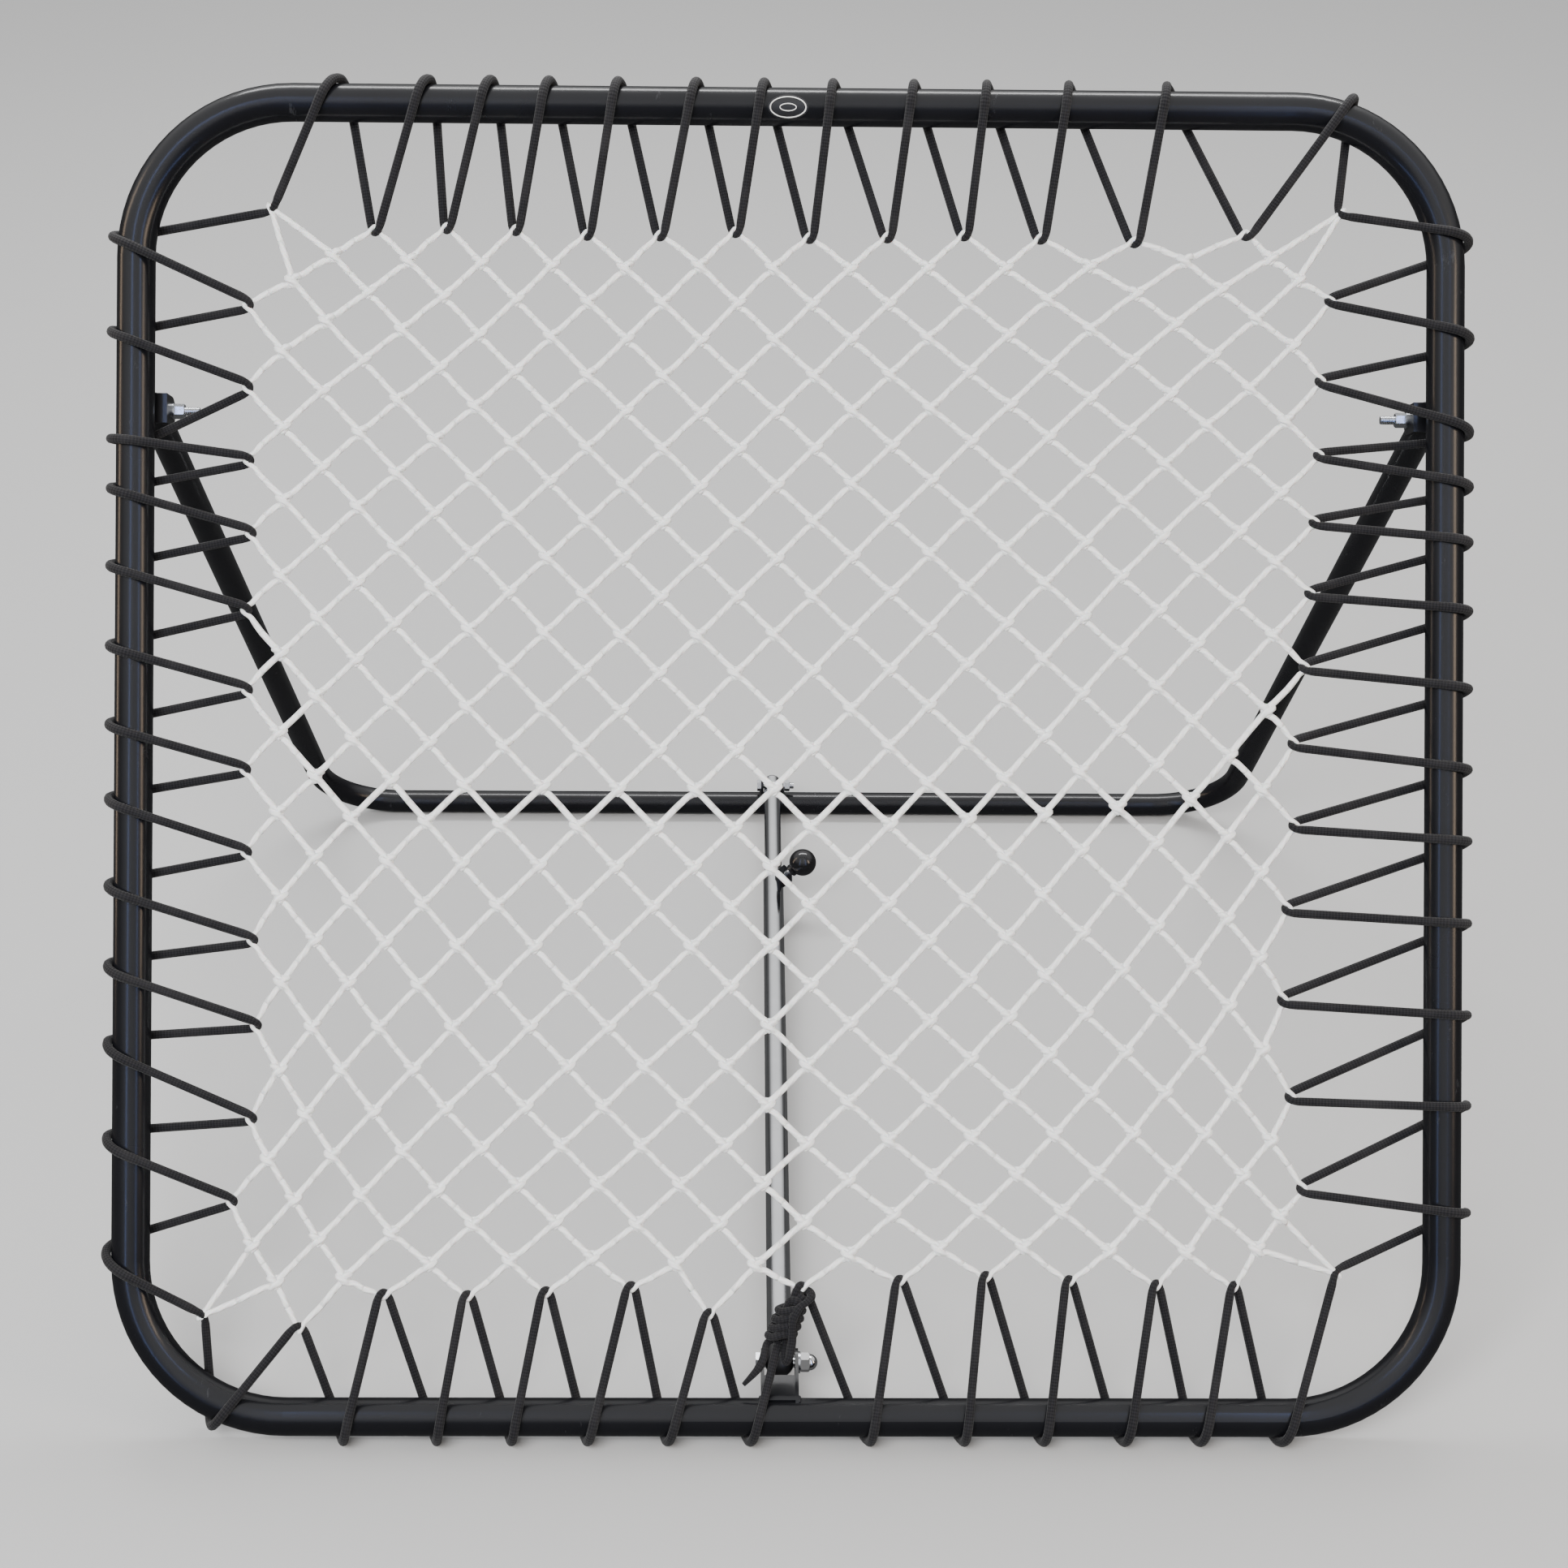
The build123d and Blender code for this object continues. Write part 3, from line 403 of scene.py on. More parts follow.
def corner_place(name):
    sign_x, sign_y = CORNER_SIGNS[name]
    in_x, in_y = CORNERS[name]
    return Vector((sign_x * (HALF_X - in_x * MM), sign_y * (HALF_Y - in_y * MM)))


def crest_station(side, crest):
    """The tube's axis under a wrap, its direction and its way out, also on a bend."""
    along, out = SIDES[side]
    half_length, distance = side_halves(side)
    place = crest * MM
    straight = half_length - BEND_R
    beyond = abs(place) - straight
    if beyond <= 0:
        return along * place + out * distance, along, out
    turn = math.asin(beyond / (BEND_R + TUBE_R + WRAP_R))
    sign = math.copysign(1, place)
    way_out = out * math.cos(turn) + along * (sign * math.sin(turn))
    direction = along * math.cos(turn) - out * (sign * math.sin(turn))
    return along * (sign * straight) + out * (distance - BEND_R) + way_out * BEND_R, direction, way_out


def turn_points(before, hook, after):
    """The two corners of the cord's turn through a loop of the net."""
    across = ((hook - before).normalized() + (after - hook).normalized()).normalized() * HOOK_HALF
    lift = Vector((0, 0, HOOK_LIFT))
    return (hook - across).to_3d() - lift, (hook + across).to_3d() + lift


def half_wrap(station, end, face, exit_along=None):
    """Points and radii from a wrap's crest, round half the tube and straight to a point off the tube.

    face is 1 in front of the tube and -1 behind it. exit_along is how far along the tube the wrap is held.
    """
    centre, direction, way_out = station
    radius = TUBE_R + CORD_GAP + WRAP_R
    to_end = end.to_2d() - centre
    outward = to_end.dot(way_out)
    distance = math.hypot(outward, end.z)
    turn = math.atan2(face * end.z, outward) % (2 * math.pi) - math.acos(radius / distance)
    arc = radius * turn
    slope = to_end.dot(direction) / (arc + math.sqrt(distance**2 - radius**2))
    if exit_along is not None:
        slope = exit_along / arc
    points = []
    for i in range(WRAP_STEPS + 1):
        angle = turn * i / WRAP_STEPS
        flat = centre + way_out * (radius * math.cos(angle)) + direction * (slope * radius * angle)
        points.append((Vector((flat.x, flat.y, face * radius * math.sin(angle))), WRAP_R))
    last = points[-1][0]
    runs = max(int((end - last).length / RUN_STEP), 3)
    for i in range(1, runs + 1):
        points.append((last.lerp(end, i / runs), CORD_R))
    return points


def wrap(side, crest, station, leave, arrive):
    """One wrap round the tube, from the back of one loop to the front of the next."""
    exit_along = None
    if (side, crest) == HELD_WRAP[:2]:
        exit_along = (HELD_WRAP[2] - crest) * MM
    front = half_wrap(station, leave, 1)
    back = half_wrap(station, arrive, -1, exit_along)
    return front[::-1] + back[1:]


def cord_turn(before, first, last, after):
    """A smooth turn through a loop, between the last point of one run and the first of the next."""
    low_control = before + (first - before) * TURN_PULL
    high_control = after + (last - after) * TURN_PULL
    controls = (before, low_control, high_control, after)
    points = []
    for i in range(1, TURN_STEPS):
        t = i / TURN_STEPS
        weights = ((1 - t) ** 3, 3 * t * (1 - t) ** 2, 3 * t**2 * (1 - t), t**3)
        place = sum((w * p for w, p in zip(weights, controls)), Vector())
        points.append((place, TURN_R))
    return points


def join_runs(runs, turns):
    """Runs joined by turns: a run stops short of the loop, and the turn bridges the gap."""
    points = list(runs[0])
    for (first, last), run in zip(turns, runs[1:]):
        while (points[-1][0] - first).length < TURN_REACH:
            points.pop()
        before = first + (points[-1][0] - first).normalized() * TURN_REACH
        run = list(run)
        while (run[0][0] - last).length < TURN_REACH:
            run.pop(0)
        after = last + (run[0][0] - last).normalized() * TURN_REACH
        points += [(before, CORD_R)] + cord_turn(before, first, last, after) + [(after, CORD_R)] + run
    return points


def lacing_route(lead_in, lead_out):
    """The whole cord, from the bottom's middle up the left side and round to the middle again.

    lead_in and lead_out are the places, in the frame's own axes, where it comes from and goes to the knot.
    """
    order = [("bottom_left", "bottom"), ("left", "left"), ("top", "top"), ("right", "right")]
    order.append(("bottom_right", "bottom"))
    ends = ["bottom_left", "top_left", "top_right", "bottom_right"]
    stations, hooks = [], []
    for i, (name, side) in enumerate(order):
        stations += [(side, crest, crest_station(side, crest)) for crest in CRESTS[name]]
        hooks += [hook_place(side, hook) for hook in HOOKS[name]]
        if i < len(ends):
            hooks.append(corner_place(ends[i]))
    turns = [turn_points(stations[i][2][0], hook, stations[i + 1][2][0]) for i, hook in enumerate(hooks)]
    middle = hook_place("bottom", MIDDLE_HOOK)
    first, last = turn_points(stations[-1][2][0], middle, lead_out.to_2d())
    leaving = [lead_in] + [last_point for _, last_point in turns]
    arriving = [first_point for first_point, _ in turns] + [first]
    runs = [wrap(*stations[i], leaving[i], arriving[i]) for i in range(len(stations))]
    runs.append([(last.lerp(lead_out, i / 4), CORD_R) for i in range(1, 5)])
    return join_runs(runs, turns + [(first, last)])


# The knot's two ends, in the frame's own axes.
KNOT_LOW = Vector((-7.5 * MM, 55 * MM - HALF_Y, 0))
KNOT_HIGH = Vector((4 * MM, 87 * MM - HALF_Y, 0))
route = lacing_route(KNOT_LOW, KNOT_HIGH)


def lacing_piece():
    """The cord along its route, with its thickness changing gently from point to point."""
    radii = np.array([radius for _, radius in route])
    radii = np.convolve(np.pad(radii, 1, mode="edge"), (0.25, 0.5, 0.25), mode="valid")
    path = [frame_matrix @ point for point, _ in route]
    mesh = tube_mesh("elastic_lacing", [path], [radii], CORD_SIDES)
    return new_object("elastic_lacing", mesh, M["cord"], "frame")


lacing = lacing_piece()
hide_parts("lacing_left", "lacing_top", "lacing_right", "lacing_bottom_right", "lacing_bottom_left")

# ---------------------------------------------------------------- splines through chosen points


def through(points, steps=5):
    """A smooth line through points (Catmull-Rom), with its ends kept."""
    points = [Vector(point) for point in points]
    points = [points[0] * 2 - points[1]] + points + [points[-1] * 2 - points[-2]]
    line = []
    for a, b, c, d in zip(points, points[1:], points[2:], points[3:]):
        for i in range(steps):
            t = i / steps
            square, cube = 2 * a - 5 * b + 4 * c - d, 3 * b - a - 3 * c + d
            line.append(0.5 * (2 * b + (c - a) * t + square * t**2 + cube * t**3))
    return line + [points[-2]]


# ---------------------------------------------------------------- the knot that ties the cord's ends

knot_axis = (KNOT_HIGH - KNOT_LOW).normalized()
knot_across = Vector((knot_axis.y, -knot_axis.x, 0))
KNOT_LEAN = 0.38  # rise of its coils from left to right
COILS = (3, 33)  # where the coils lie along the knot, in mm
KNOT_R = 2.95 * MM  # of the cord where it is pulled tight
KNOT_SWELLS = 40  # radians of its slight swelling from end to end
KNOT_SIDES = 14
TAIL_R = 1.7 * MM
TAIL_POINTS = 12


def knot_place(across, along, out):
    """A place in the knot, in millimetres from its lower end."""
    return KNOT_LOW + (knot_across * across + knot_axis * along + Vector((0, 0, out))) * MM


KNOT_STRANDS = {
    # from the tube up through the coils, over the top, round and down to its loose tail
    "lead": [(0, 0, 0), (-1.8, 4, -1.5), (-2.9, 10, -2.2), (-2.9, 18, -1.5), (-3.2, 27, 0.5),
             (-2.2, 33, 3.2), (3.0, 34.5, 4.6), (7.6, 31.5, 1.0), (5.0, 28.5, -5.2), (-3.5, 27.8, -5.6),
             (-8.6, 26.4, -0.8), (-4.6, 25.6, 5.3), (2.6, 27.2, 6.6), (8.6, 25.6, 1.2), (5.4, 22.4, -5.4),
             (-3.6, 21.6, -5.8), (-9.0, 19.6, -0.9), (-5.2, 19.2, 5.6), (2.2, 21.0, 7.0), (8.9, 19.6, 1.8),
             (6.4, 16.4, -4.8), (-2.8, 15.2, -6.0), (-9.2, 13.0, -1.2), (-5.6, 12.6, 5.4), (1.6, 14.8, 7.4),
             (8.9, 13.6, 2.2), (6.2, 10.2, -4.6), (-2.6, 8.8, -6.0), (-9.2, 6.6, -1.2), (-5.8, 5.8, 5.4),
             (1.0, 8.4, 7.2), (8.4, 7.6, 1.6), (5.4, 4.0, -4.4), (-2.0, 1.6, -5.8), (-7.4, -3.0, -2.6),
             (-7.2, -9.5, 1.5), (-6.8, -15.5, 4.2), (-7.8, -22.0, 4.6), (-10.6, -29.5, 4.2),
             (-13.8, -37.0, 3.4)],
    # from the net's middle loop down through the coils, round below them and back to the loop
    "end": [(0.4, 34, 0), (2.4, 30, 1.2), (3.1, 22, -0.6), (3.0, 14, -0.8), (3.6, 6, -1.2),
            (6.0, -1.5, -0.6), (8.2, -8.5, 1.8), (10.2, -10.4, 5.2), (10.6, -4.5, 7.6), (8.2, 4.5, 8.6),
            (5.4, 13.0, 9.6), (3.6, 21.5, 9.8), (5.4, 29.5, 8.2), (8.8, 36.0, 5.6), (11.2, 41.0, 1.6),
            (8.0, 43.6, -2.4), (3.6, 41.6, -2.2), (2.8, 38.4, 1.8), (6.6, 37.0, 4.4)],
}


def knot_piece():
    """Both ends of the cord as tied. The loose tail thins over its last points."""
    paths, sizes = [], []
    for name, points in KNOT_STRANDS.items():
        leaning = [(x, y + KNOT_LEAN * x * (COILS[0] < y < COILS[1]), z) for x, y, z in points]
        line = through([knot_place(*point) for point in leaning], 6)
        swell = np.cos(np.linspace(0, 1, len(line)) * KNOT_SWELLS)
        size = KNOT_R * (1 + 0.1 * swell)
        if name == "lead":
            size[-TAIL_POINTS:] = np.linspace(KNOT_R, TAIL_R, TAIL_POINTS)
        paths.append([frame_matrix @ point for point in line])
        sizes.append(size)
    mesh = tube_mesh("elastic_cord_knot", paths, sizes, KNOT_SIDES)
    return new_object("elastic_cord_knot", mesh, M["cord"], "frame")


knot = knot_piece()
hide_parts("lacing_knot")

# ---------------------------------------------------------------- the net

CELLS = 28  # half meshes along each side
NET_SIDE = 0.79
BAR = 40 * MM
UNPULLED = (0.58, 0.64)  # shares of a bar that its unpulled length is drawn from
RELAX_STEPS = 900
RELAX_SHARE = 0.3  # of the force on a knot that it moves by in one step
TINY = 1e-6  # keeps a bar of no length from dividing by zero
CORNER_SLACK = 1.9  # how much longer the bars at the corners are than the others, unpulled
KNOT_SPREAD = 1.25  # size of the net's knots over a pulled-tight one
KNOT_EXIT = 8.5 * MM  # from a knot's middle to where its legs are straight
LOOP_OUT = TURN_R + LOOP_R
LOOP_SIDE = 6.0 * MM  # from the hook to where a loop's legs are straight
rng = random.Random(11)


def loop_places():
    """The net's edge loops, {cell: (the cord's place, the side's directions)}, and each corner's cells."""
    loops = {}
    bottom_hooks = HOOKS["bottom_right"] + [MIDDLE_HOOK] + HOOKS["bottom_left"]
    rows = {
        "bottom": (bottom_hooks, [(i, 0) for i in range(25, 2, -2)]),
        "left": (HOOKS["left"], [(0, j) for j in range(3, 26, 2)]),
        "top": (HOOKS["top"], [(i, CELLS) for i in range(3, 26, 2)]),
        "right": (HOOKS["right"], [(CELLS, j) for j in range(25, 2, -2)]),
    }
    for side, (hooks, cells) in rows.items():
        for hook, cell in zip(hooks, cells):
            loops[cell] = (hook_place(side, hook), SIDES[side][0], SIDES[side][1])
    edge = CELLS - 1
    corners = {
        "bottom_left": ((1, 0), (0, 1)), "top_left": ((0, edge), (1, CELLS)),
        "top_right": ((edge, CELLS), (CELLS, edge)), "bottom_right": ((CELLS, 1), (edge, 0)),
    }
    for name, pair in corners.items():
        sign_x, sign_y = CORNER_SIGNS[name]
        out = Vector((sign_x, sign_y)).normalized()
        along = Vector((out.y, -out.x))
        for cell in pair:
            loops[cell] = (corner_place(name), along, out)
    return loops, corners


def relaxed_nodes(loops, slack):
    """Places of all the net's knots and loops, in the frame's plane, with every bar pulled a little.

    The bars that end at the slack cells are longer unpulled, and so are pulled less.
    """
    cells = [(i, j) for i in range(CELLS + 1) for j in range(CELLS + 1) if (i + j) % 2]
    index = {cell: k for k, cell in enumerate(cells)}
    places = np.array([((i / CELLS - 0.5) * NET_SIDE, (j / CELLS - 0.5) * NET_SIDE) for i, j in cells])
    free = np.ones(len(cells), bool)
    for cell, (place, _, out) in loops.items():
        places[index[cell]] = place + out * LOOP_OUT
        free[index[cell]] = False
    steps = [((i, j), (i + di, j + 1)) for i, j in cells for di in (-1, 1)]
    bars = [(index[one], index[two]) for one, two in steps if two in index]
    first, second = np.array(bars).T
    rest = BAR * np.array([rng.uniform(*UNPULLED) for _ in bars])
    rest[[k for k, bar in enumerate(bars) if slack & {cells[bar[0]], cells[bar[1]]}]] *= CORNER_SLACK
    for _ in range(RELAX_STEPS):
        run = places[second] - places[first]
        length = np.linalg.norm(run, axis=1)
        pull = run * (1 - rest / np.maximum(length, TINY))[:, None]
        force = np.zeros_like(places)
        np.add.at(force, first, pull)
        np.add.at(force, second, -pull)
        places[free] += RELAX_SHARE * force[free]
    return cells, index, places, bars


def net_paths():
    """Centre lines of the net's twine: two for each knot and one for each loop at the edge."""
    loops, corners = loop_places()
    gathered = {cell for pair in corners.values() for cell in pair}
    cells, index, places, bars = relaxed_nodes(loops, gathered)
    place = {}
    for cell, k in index.items():
        place[cell] = Vector((*places[k], rng.uniform(-0.5, 0.5) * MM * (cell not in loops)))
    middle = {}
    for a, b in bars:
        one, two = cells[a], cells[b]
        if one in gathered and two in gathered:
            continue
        side = Vector((rng.uniform(-0.5, 0.5), rng.uniform(-0.5, 0.5), rng.uniform(-0.4, 0.4))) * MM
        middle[frozenset((one, two))] = (place[one] + place[two]) / 2 + side
    paths = []
    for cell in cells:
        if cell in loops:
            continue
        i, j = cell
        legs = {(di, dj): middle[frozenset((cell, (i + di, j + dj)))] for di in (-1, 1) for dj in (-1, 1)}
        paths += knot_paths(place[cell], legs, rng.choice((-1, 1)))
    for cell, (hook, along, out) in loops.items():
        ends = [m for key, m in middle.items() if cell in key]
        if cell in gathered:
            continue
        paths.append(loop_path(hook, along, out, ends))
    for pair in corners.values():
        ends = [m for key, m in middle.items() if key & set(pair)]
        hook, along, out = loops[pair[0]]
        paths.append(loop_path(hook, along, out, ends))
    return paths


def loop_path(hook, along, out, ends):
    """A loop at the net's edge, in front of the cord's rear leg and behind its front leg."""
    ends = sorted(ends, key=lambda end: (end.to_2d() - hook).dot(along))
    hook, out = hook.to_3d(), out.to_3d()
    first, last = (hook + (end - hook).normalized() * LOOP_SIDE + out * LOOP_OUT * 0.35 for end in ends)
    line = through([
        ends[0], first.lerp(ends[0], 0.4), first, hook + out * LOOP_OUT,
        last, last.lerp(ends[1], 0.4), ends[1],
    ], 6)
    pinch = np.cos(np.linspace(0, 2 * math.pi, len(line))) * 0.5 + 0.5
    return line, LOOP_R + (TWINE_R - LOOP_R) * pinch


def knot_paths(centre, legs, hand):
    """A sheet bend: a bight in the two upper legs, and the two lower legs tied round it."""

    def at(x, y, z):
        return centre + Vector((x * hand, y, z)) * KNOT_SPREAD * MM

    def leg(dx, dy, z):
        end = legs[(dx * hand, dy)]
        return [end, centre + (end - centre).normalized() * KNOT_EXIT + Vector((0, 0, z * MM))]

    bight = leg(-1, 1, -0.4) + [at(-1.9, 2.2, -0.8), at(-1.7, -0.9, -0.6), at(0, -2.9, 0.2)]
    bight += [at(1.7, -0.9, -0.6), at(1.9, 2.2, -0.8)] + leg(1, 1, -0.4)[::-1]
    tied = leg(-1, -1, -0.6) + [at(-1.2, -2.6, -2.2), at(-0.2, 0.1, 0.6), at(1.5, 1.9, 2.7)]
    tied += [at(3.6, 2.4, 0.4), at(1.6, 2.2, -3.0), at(-1.6, 2.0, -3.0), at(-3.7, 1.5, -0.2)]
    tied += [at(-2.4, 0.3, 2.6), at(0.4, -1.1, 2.9), at(2.4, -2.8, 1.2)] + leg(1, -1, 0.2)[::-1]
    return [(through(bight, 3), TWINE_R), (through(tied, 3), TWINE_R)]


def net_piece():
    made = net_paths()
    paths = [[frame_matrix @ point for point in path] for path, _ in made]
    mesh = tube_mesh("net_twine", paths, [radius for _, radius in made], TWINE_SIDES)
    return new_object("net_twine", mesh, M["twine"], "frame")


net = net_piece()
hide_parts("net")

# ---------------------------------------------------------------- small details


def span(node, sign=0):
    """Lowest and highest corner of a CAD node, or of its half on one side of the middle."""
    points = np.array([tuple(v.co) for v in nodes[node].data.vertices if sign == 0 or v.co.x * sign > 0])
    return points.min(axis=0), points.max(axis=0)


THREAD_PITCH = 1.0 * MM
THREAD_R = 2.9 * MM  # of the ridge's middle, on a 6 mm bolt
RIDGE_R = 0.36 * MM
THREAD_END = 0.4 * MM  # between the ridge and the bolt's tip
STEPS_A_TURN = 16


def thread(name, start, end, body):
    """A bolt's thread as a fine ridge wound round its free end, along X."""
    turns = abs(end - start) / THREAD_PITCH
    steps = max(int(turns * STEPS_A_TURN), 8)
    axis = leg_pin if body == "frame" else rear_pin
    path = []
    for i in range(steps + 1):
        angle = 2 * math.pi * turns * i / steps
        x = start + (end - start) * i / steps
        around = (THREAD_R * math.cos(angle), THREAD_R * math.sin(angle))
        path.append(Vector((x, axis.y + around[0], axis.z + around[1])))
    return new_object(name, tube_mesh(name, [path], [RIDGE_R], 6), M["zinc"], body)


def make_threads():
    for side, sign in (("left", -1), ("right", 1)):
        bolt_low, bolt_high = span("pivot_bolts", sign)
        nut_low, nut_high = span("pivot_nuts", sign)
        nut, tip = (nut_high[0], bolt_high[0]) if sign < 0 else (nut_low[0], bolt_low[0])
        thread(f"pivot_thread_{side}", nut, tip + sign * THREAD_END, "frame")
    _, bolt_high = span("rear_strut_bolt")
    _, nut_high = span("rear_strut_nut")
    thread("rear_strut_thread", nut_high[0], bolt_high[0] - THREAD_END, "rear_leg")


WELD_R = 1.35 * MM
WELD_END_R = 0.5 * MM
WELD_WAVE = 0.12  # share of a bead's radius that it swells and shrinks by
WELD_STEP = 1.9  # radians of that wave from point to point
WELD_LIFT = 0.3 * MM  # of a bead's middle off the tube
WELD_SIDE = 0.2 * MM  # of a bead's middle off the bracket's side
PIVOT_WELD_HALF = 9.5  # half length of the pivot brackets' beads, in mm
PIVOT_WELD_DEPTH = -12.6 * MM  # behind the frame's middle plane
PIVOT_WELD_SIDES = (8.0 * MM, -7.4 * MM)  # of the beads from the side tube's axis
FRONT_WELD_ARC = (8, 84)  # degrees from behind the tube over its top
REAR_WELD_ARC = (48, 132)


def weld(name, lines, body):
    """Rippled weld beads along lines of points."""
    paths, sizes = [], []
    for line in lines:
        path = through(line, 10)
        ripple = np.array([rng.uniform(0.9, 1.1) for _ in path])
        size = WELD_R * ripple * (1 + WELD_WAVE * np.cos(np.arange(len(path)) * WELD_STEP))
        size[0] = size[-1] = WELD_END_R
        paths.append(path)
        sizes.append(size)
    return new_object(name, tube_mesh(name, paths, sizes, 8), M["weld"], body)


def straight(start, end, count=4):
    return [Vector(start).lerp(Vector(end), i / (count - 1)) for i in range(count)]


def round_tube(x, centre, radius, first, last):
    """Points on a tube along X, between two angles in degrees, counted from behind it over its top."""
    angles = [math.radians(first + (last - first) * i / 5) for i in range(6)]
    return [Vector((x, centre.y + radius * math.cos(a), centre.z + radius * math.sin(a))) for a in angles]


def weld_sides(node):
    """Where the beads lie along X, just outside a bracket's two sides."""
    low_corner, high_corner = span(node)
    return low_corner[0] - WELD_SIDE, high_corner[0] + WELD_SIDE


def make_welds():
    pivot_y = (to_frame @ leg_pin).y
    for side, sign in (("left", -1), ("right", 1)):
        lines = []
        for offset in PIVOT_WELD_SIDES:
            x = sign * (HALF_X + offset)
            ends = [(x, pivot_y + end * PIVOT_WELD_HALF * MM, PIVOT_WELD_DEPTH) for end in (-1, 1)]
            lines.append(place_on_frame(straight(*ends)))
        weld(f"pivot_weld_{side}", lines, "frame")
    radius = TUBE_R + WELD_LIFT
    sides = weld_sides("front_strut_bracket")
    weld("front_bracket_weld", [round_tube(x, bottom_axis, radius, *FRONT_WELD_ARC) for x in sides], "frame")
    leg_axis = Vector((0, rear_pin.y, LEG_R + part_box("rear_leg_left")[0][2]))
    radius = LEG_R + WELD_LIFT
    sides = weld_sides("rear_clevis")
    weld("rear_clevis_weld", [round_tube(x, leg_axis, radius, *REAR_WELD_ARC) for x in sides], "rear_leg")


BADGE_LIFT = 0.5 * MM  # of the rings' middles off the tube
BADGE_TURN = math.radians(15)  # of the badge round the top tube, from the front towards the net
BADGE_RINGS = (("badge_border", 13.2, 7.4, 0.45), ("badge_oval", 6.0, 2.6, 0.35))  # half sizes, radius, in mm
RING_STEPS = 48


def make_badge_rings():
    """A plain pale border and a small oval on the badge, raised a little from the plate."""
    badge_low, badge_high = span("badge")
    middle_x = (badge_low[0] + badge_high[0]) / 2
    plate = TUBE_R + BADGE_LIFT
    for name, half_width, half_height, size in BADGE_RINGS:
        path = []
        for i in range(RING_STEPS + 1):
            angle = 2 * math.pi * i / RING_STEPS
            lean = BADGE_TURN + math.asin(half_height * MM * math.sin(angle) / plate)
            x = middle_x + half_width * MM * math.cos(angle)
            path.append(Vector((x, HALF_Y - plate * math.sin(lean), plate * math.cos(lean))))
        mesh = tube_mesh(name, [place_on_frame(path)], [size * MM], 8, caps=False)
        new_object(name, mesh, M["mark"], "frame")


SEAM_PLACE_R = 12.72 * MM  # from the ball's centre
SEAM_R = 0.16 * MM
SEAM_STEPS = 64


def make_knob_seam():
    """The moulding line round the clamp's ball."""
    ball = Vector(joints["clamp_turn"]["pos_m"])
    axis = Vector(joints["clamp_turn"]["axis"]).normalized()
    across = axis.cross(Vector((0, 1, 0))).normalized()
    partner = axis.cross(across)
    path = []
    for i in range(SEAM_STEPS + 1):
        angle = 2 * math.pi * i / SEAM_STEPS
        path.append(ball + (across * math.cos(angle) + partner * math.sin(angle)) * SEAM_PLACE_R)
    mesh = tube_mesh("clamp_knob_seam", [path], [SEAM_R], 6, caps=False)
    new_object("clamp_knob_seam", mesh, M["knob"], "clamp")


make_threads()
make_welds()
make_badge_rings()
make_knob_seam()

# ---------------------------------------------------------------- floor, light and camera


def soft_light(name, place, aim, size, power, colour=(1, 1, 1), mirrored=True, lighting=True):
    """A rectangular light. It shows in reflections if mirrored, and lights matt surfaces if lighting."""
    data = bpy.data.lights.new(name, "AREA")
    data.shape = "RECTANGLE"
    data.size, data.size_y = size
    data.energy = power
    data.color = colour
    light = bpy.data.objects.new(name, data)
    bpy.context.scene.collection.objects.link(light)
    light.visible_glossy = mirrored
    light.visible_diffuse = lighting
    light.location = place
    light.rotation_euler = (Vector(aim) - Vector(place)).to_track_quat("-Z", "Y").to_euler()


FLOOR_REACH = 40.0
FLOOR_GAP = 0.6 * MM  # under the object
FLOOR_GREY = (0.46, 0.46, 0.46)


def make_floor():
    mesh = bpy.data.meshes.new("floor")
    corners = [(x * FLOOR_REACH, y * FLOOR_REACH, 0) for x, y in ((-1, -1), (1, -1), (1, 1), (-1, 1))]
    mesh.from_pydata(corners, [], [(0, 1, 2, 3)])
    floor = bpy.data.objects.new("floor", mesh)
    bpy.context.scene.collection.objects.link(floor)
    floor.location.z = -FLOOR_GAP
    floor.visible_glossy = False  # polished parts reflect the dark horizon instead, and keep dark edges
    shader = Shader("floor_paint", FLOOR_GREY, 0.85, Specular_IOR_Level=0.1)
    mesh.materials.append(shader.material)


CAMERA_PLACE = (-0.0369, -1.7644, 1.4763)
CAMERA_TURNS = (1.123, 33.406, 0.912)  # yaw towards +X, pitch down and roll, in degrees
LENS = 59.8  # millimetres, on a 36 mm sensor


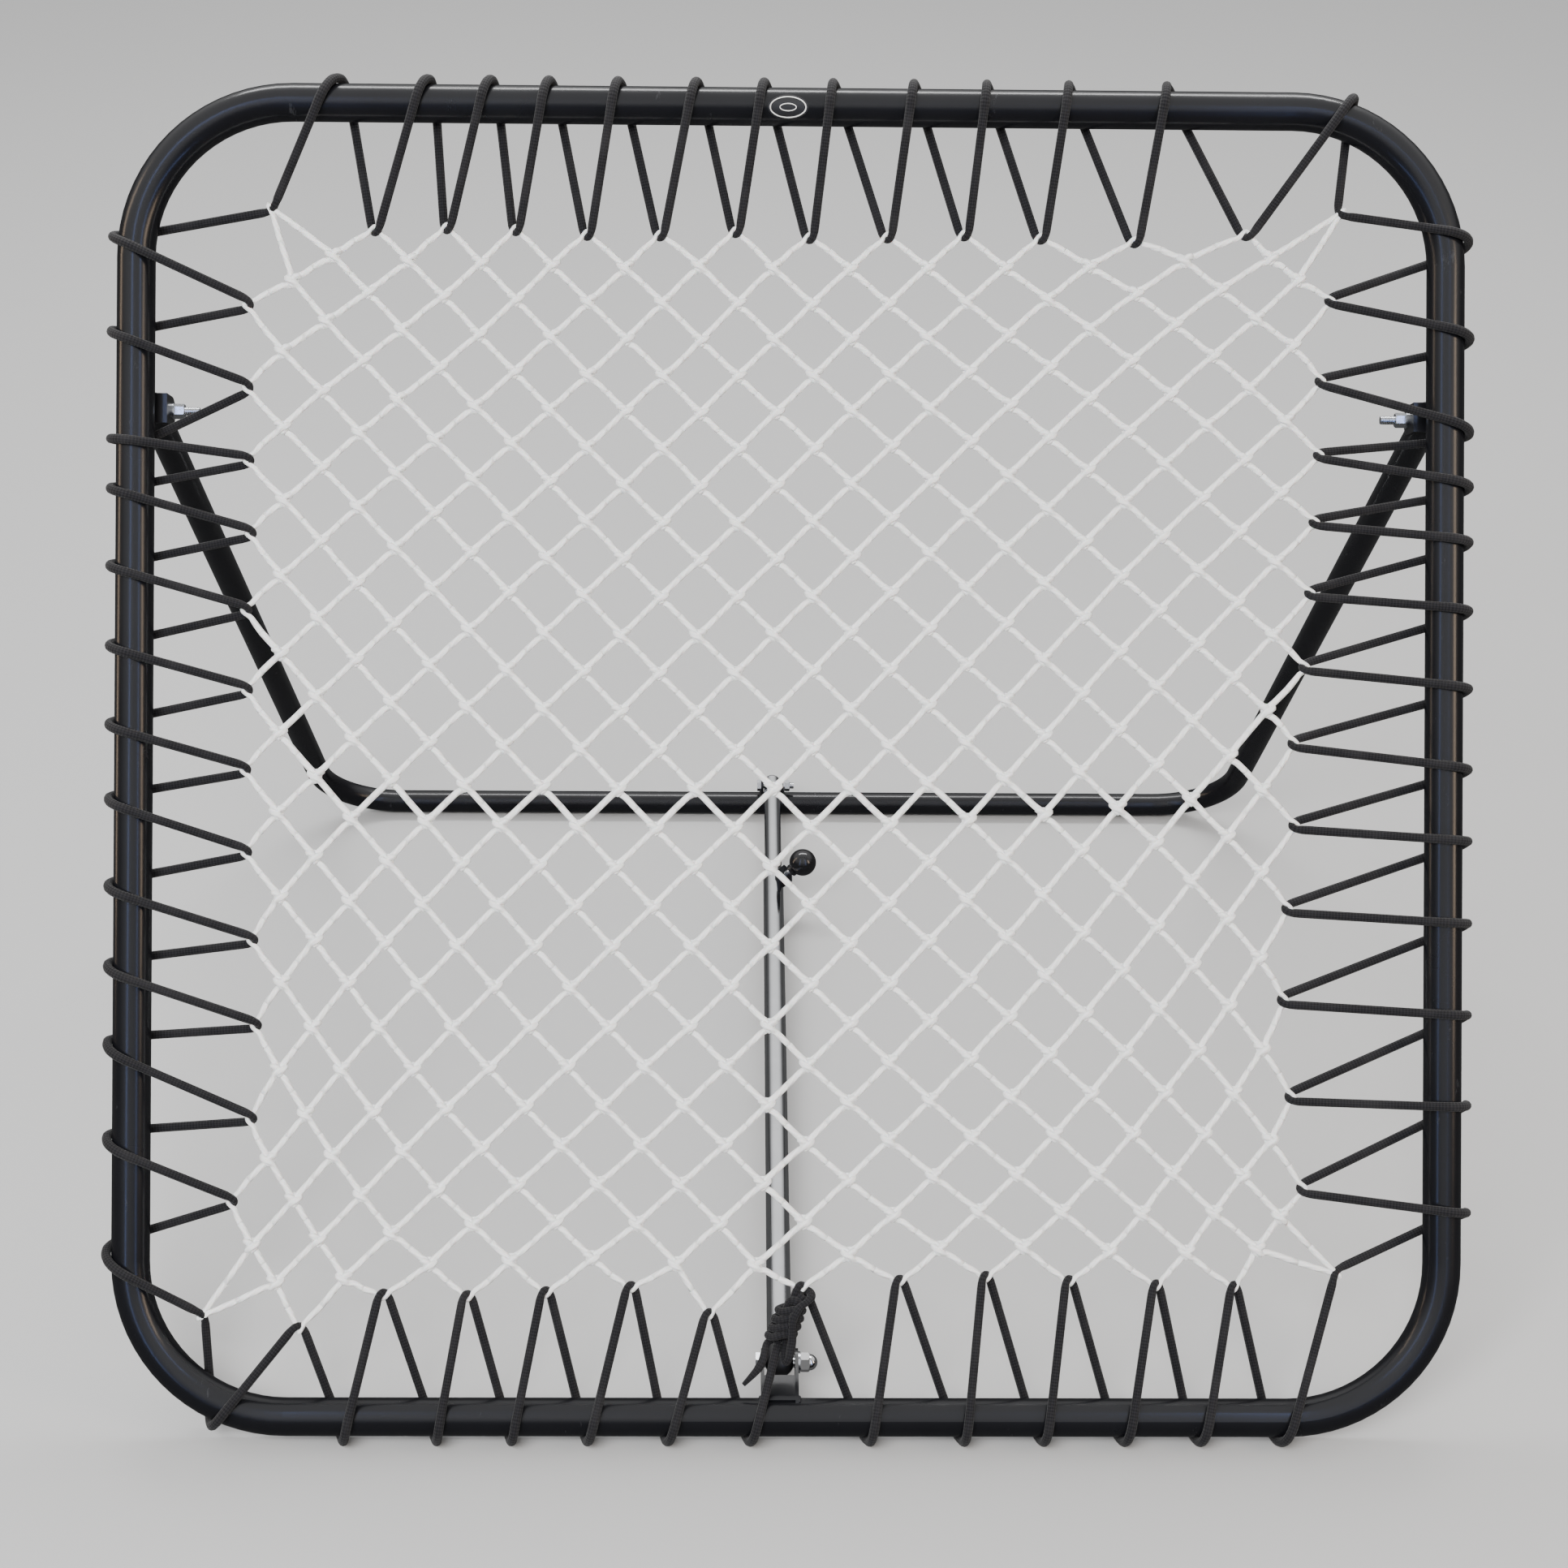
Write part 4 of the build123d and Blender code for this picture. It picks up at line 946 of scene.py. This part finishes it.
def make_camera():
    """The camera at the photograph's viewing angle."""
    data = bpy.data.cameras.new("camera")
    data.lens = LENS
    data.sensor_width = 36.0
    data.clip_start = 0.05
    data.clip_end = 60
    camera = bpy.data.objects.new("camera", data)
    bpy.context.scene.collection.objects.link(camera)
    yaw, pitch, roll = (math.radians(angle) for angle in CAMERA_TURNS)
    forward = Vector((math.sin(yaw) * math.cos(pitch), math.cos(yaw) * math.cos(pitch), -math.sin(pitch)))
    right = Vector((math.cos(yaw), -math.sin(yaw), 0))
    up = right.cross(forward)
    across = right * math.cos(roll) + up * math.sin(roll)
    upright = up * math.cos(roll) - right * math.sin(roll)
    turned = Matrix((across, upright, -forward)).transposed()
    camera.matrix_world = Matrix.Translation(CAMERA_PLACE) @ turned.to_4x4()
    bpy.context.scene.camera = camera


SKY_RAMP = (("From Min", 0.14), ("From Max", 0.62), ("To Min", 0.1), ("To Max", 1.15))
BACKDROP = 0.7  # strength of the world where the camera sees it


def make_world():
    """A soft world, dark at the horizon and bright above, with an even backdrop for the camera."""
    world = bpy.data.worlds.new("studio")
    bpy.context.scene.world = world
    world.use_nodes = True
    tree = world.node_tree
    background = tree.nodes["Background"]
    background.inputs["Color"].default_value = (1, 1, 1, 1)
    direction = tree.nodes.new("ShaderNodeTexCoord").outputs["Generated"]
    split = tree.nodes.new("ShaderNodeSeparateXYZ")
    tree.links.new(direction, split.inputs["Vector"])
    ramp = tree.nodes.new("ShaderNodeMapRange")
    ramp.interpolation_type = "SMOOTHSTEP"
    for socket, value in SKY_RAMP:
        ramp.inputs[socket].default_value = value
    tree.links.new(split.outputs["Z"], ramp.inputs["Value"])
    seen = tree.nodes.new("ShaderNodeLightPath").outputs["Is Camera Ray"]
    mix = tree.nodes.new("ShaderNodeMix")
    tree.links.new(seen, mix.inputs[0])
    tree.links.new(ramp.outputs["Result"], mix.inputs[2])
    mix.inputs[3].default_value = BACKDROP
    tree.links.new(mix.outputs[0], background.inputs["Strength"])


make_floor()
make_world()
BLUE, WARM = (0.3, 0.45, 1.0), (1.0, 0.76, 0.55)
soft_light("key", (-1.0, -2.5, 2.7), (0, 0, 0.35), (2.0, 1.2), 150, mirrored=False)
soft_light("fill", (2.6, -1.4, 1.6), (0, 0, 0.4), (0.6, 1.6), 22, WARM)
soft_light("left_edge", (-2.4, 0.2, 1.0), (0, 0, 0.4), (0.35, 2.2), 12, WARM, lighting=False)
for side, sign in (("left", -1), ("right", 1)):
    place, aim = (sign * 0.95, -1.6, 1.41), (sign * 0.49, 0, 0.42)
    soft_light(f"blue_{side}", place, aim, (0.16, 2.2), 7, BLUE, lighting=False)
soft_light("edge", (0.0, 1.7, 2.9), (0, 0, 0.5), (3.0, 0.4), 80)
make_camera()
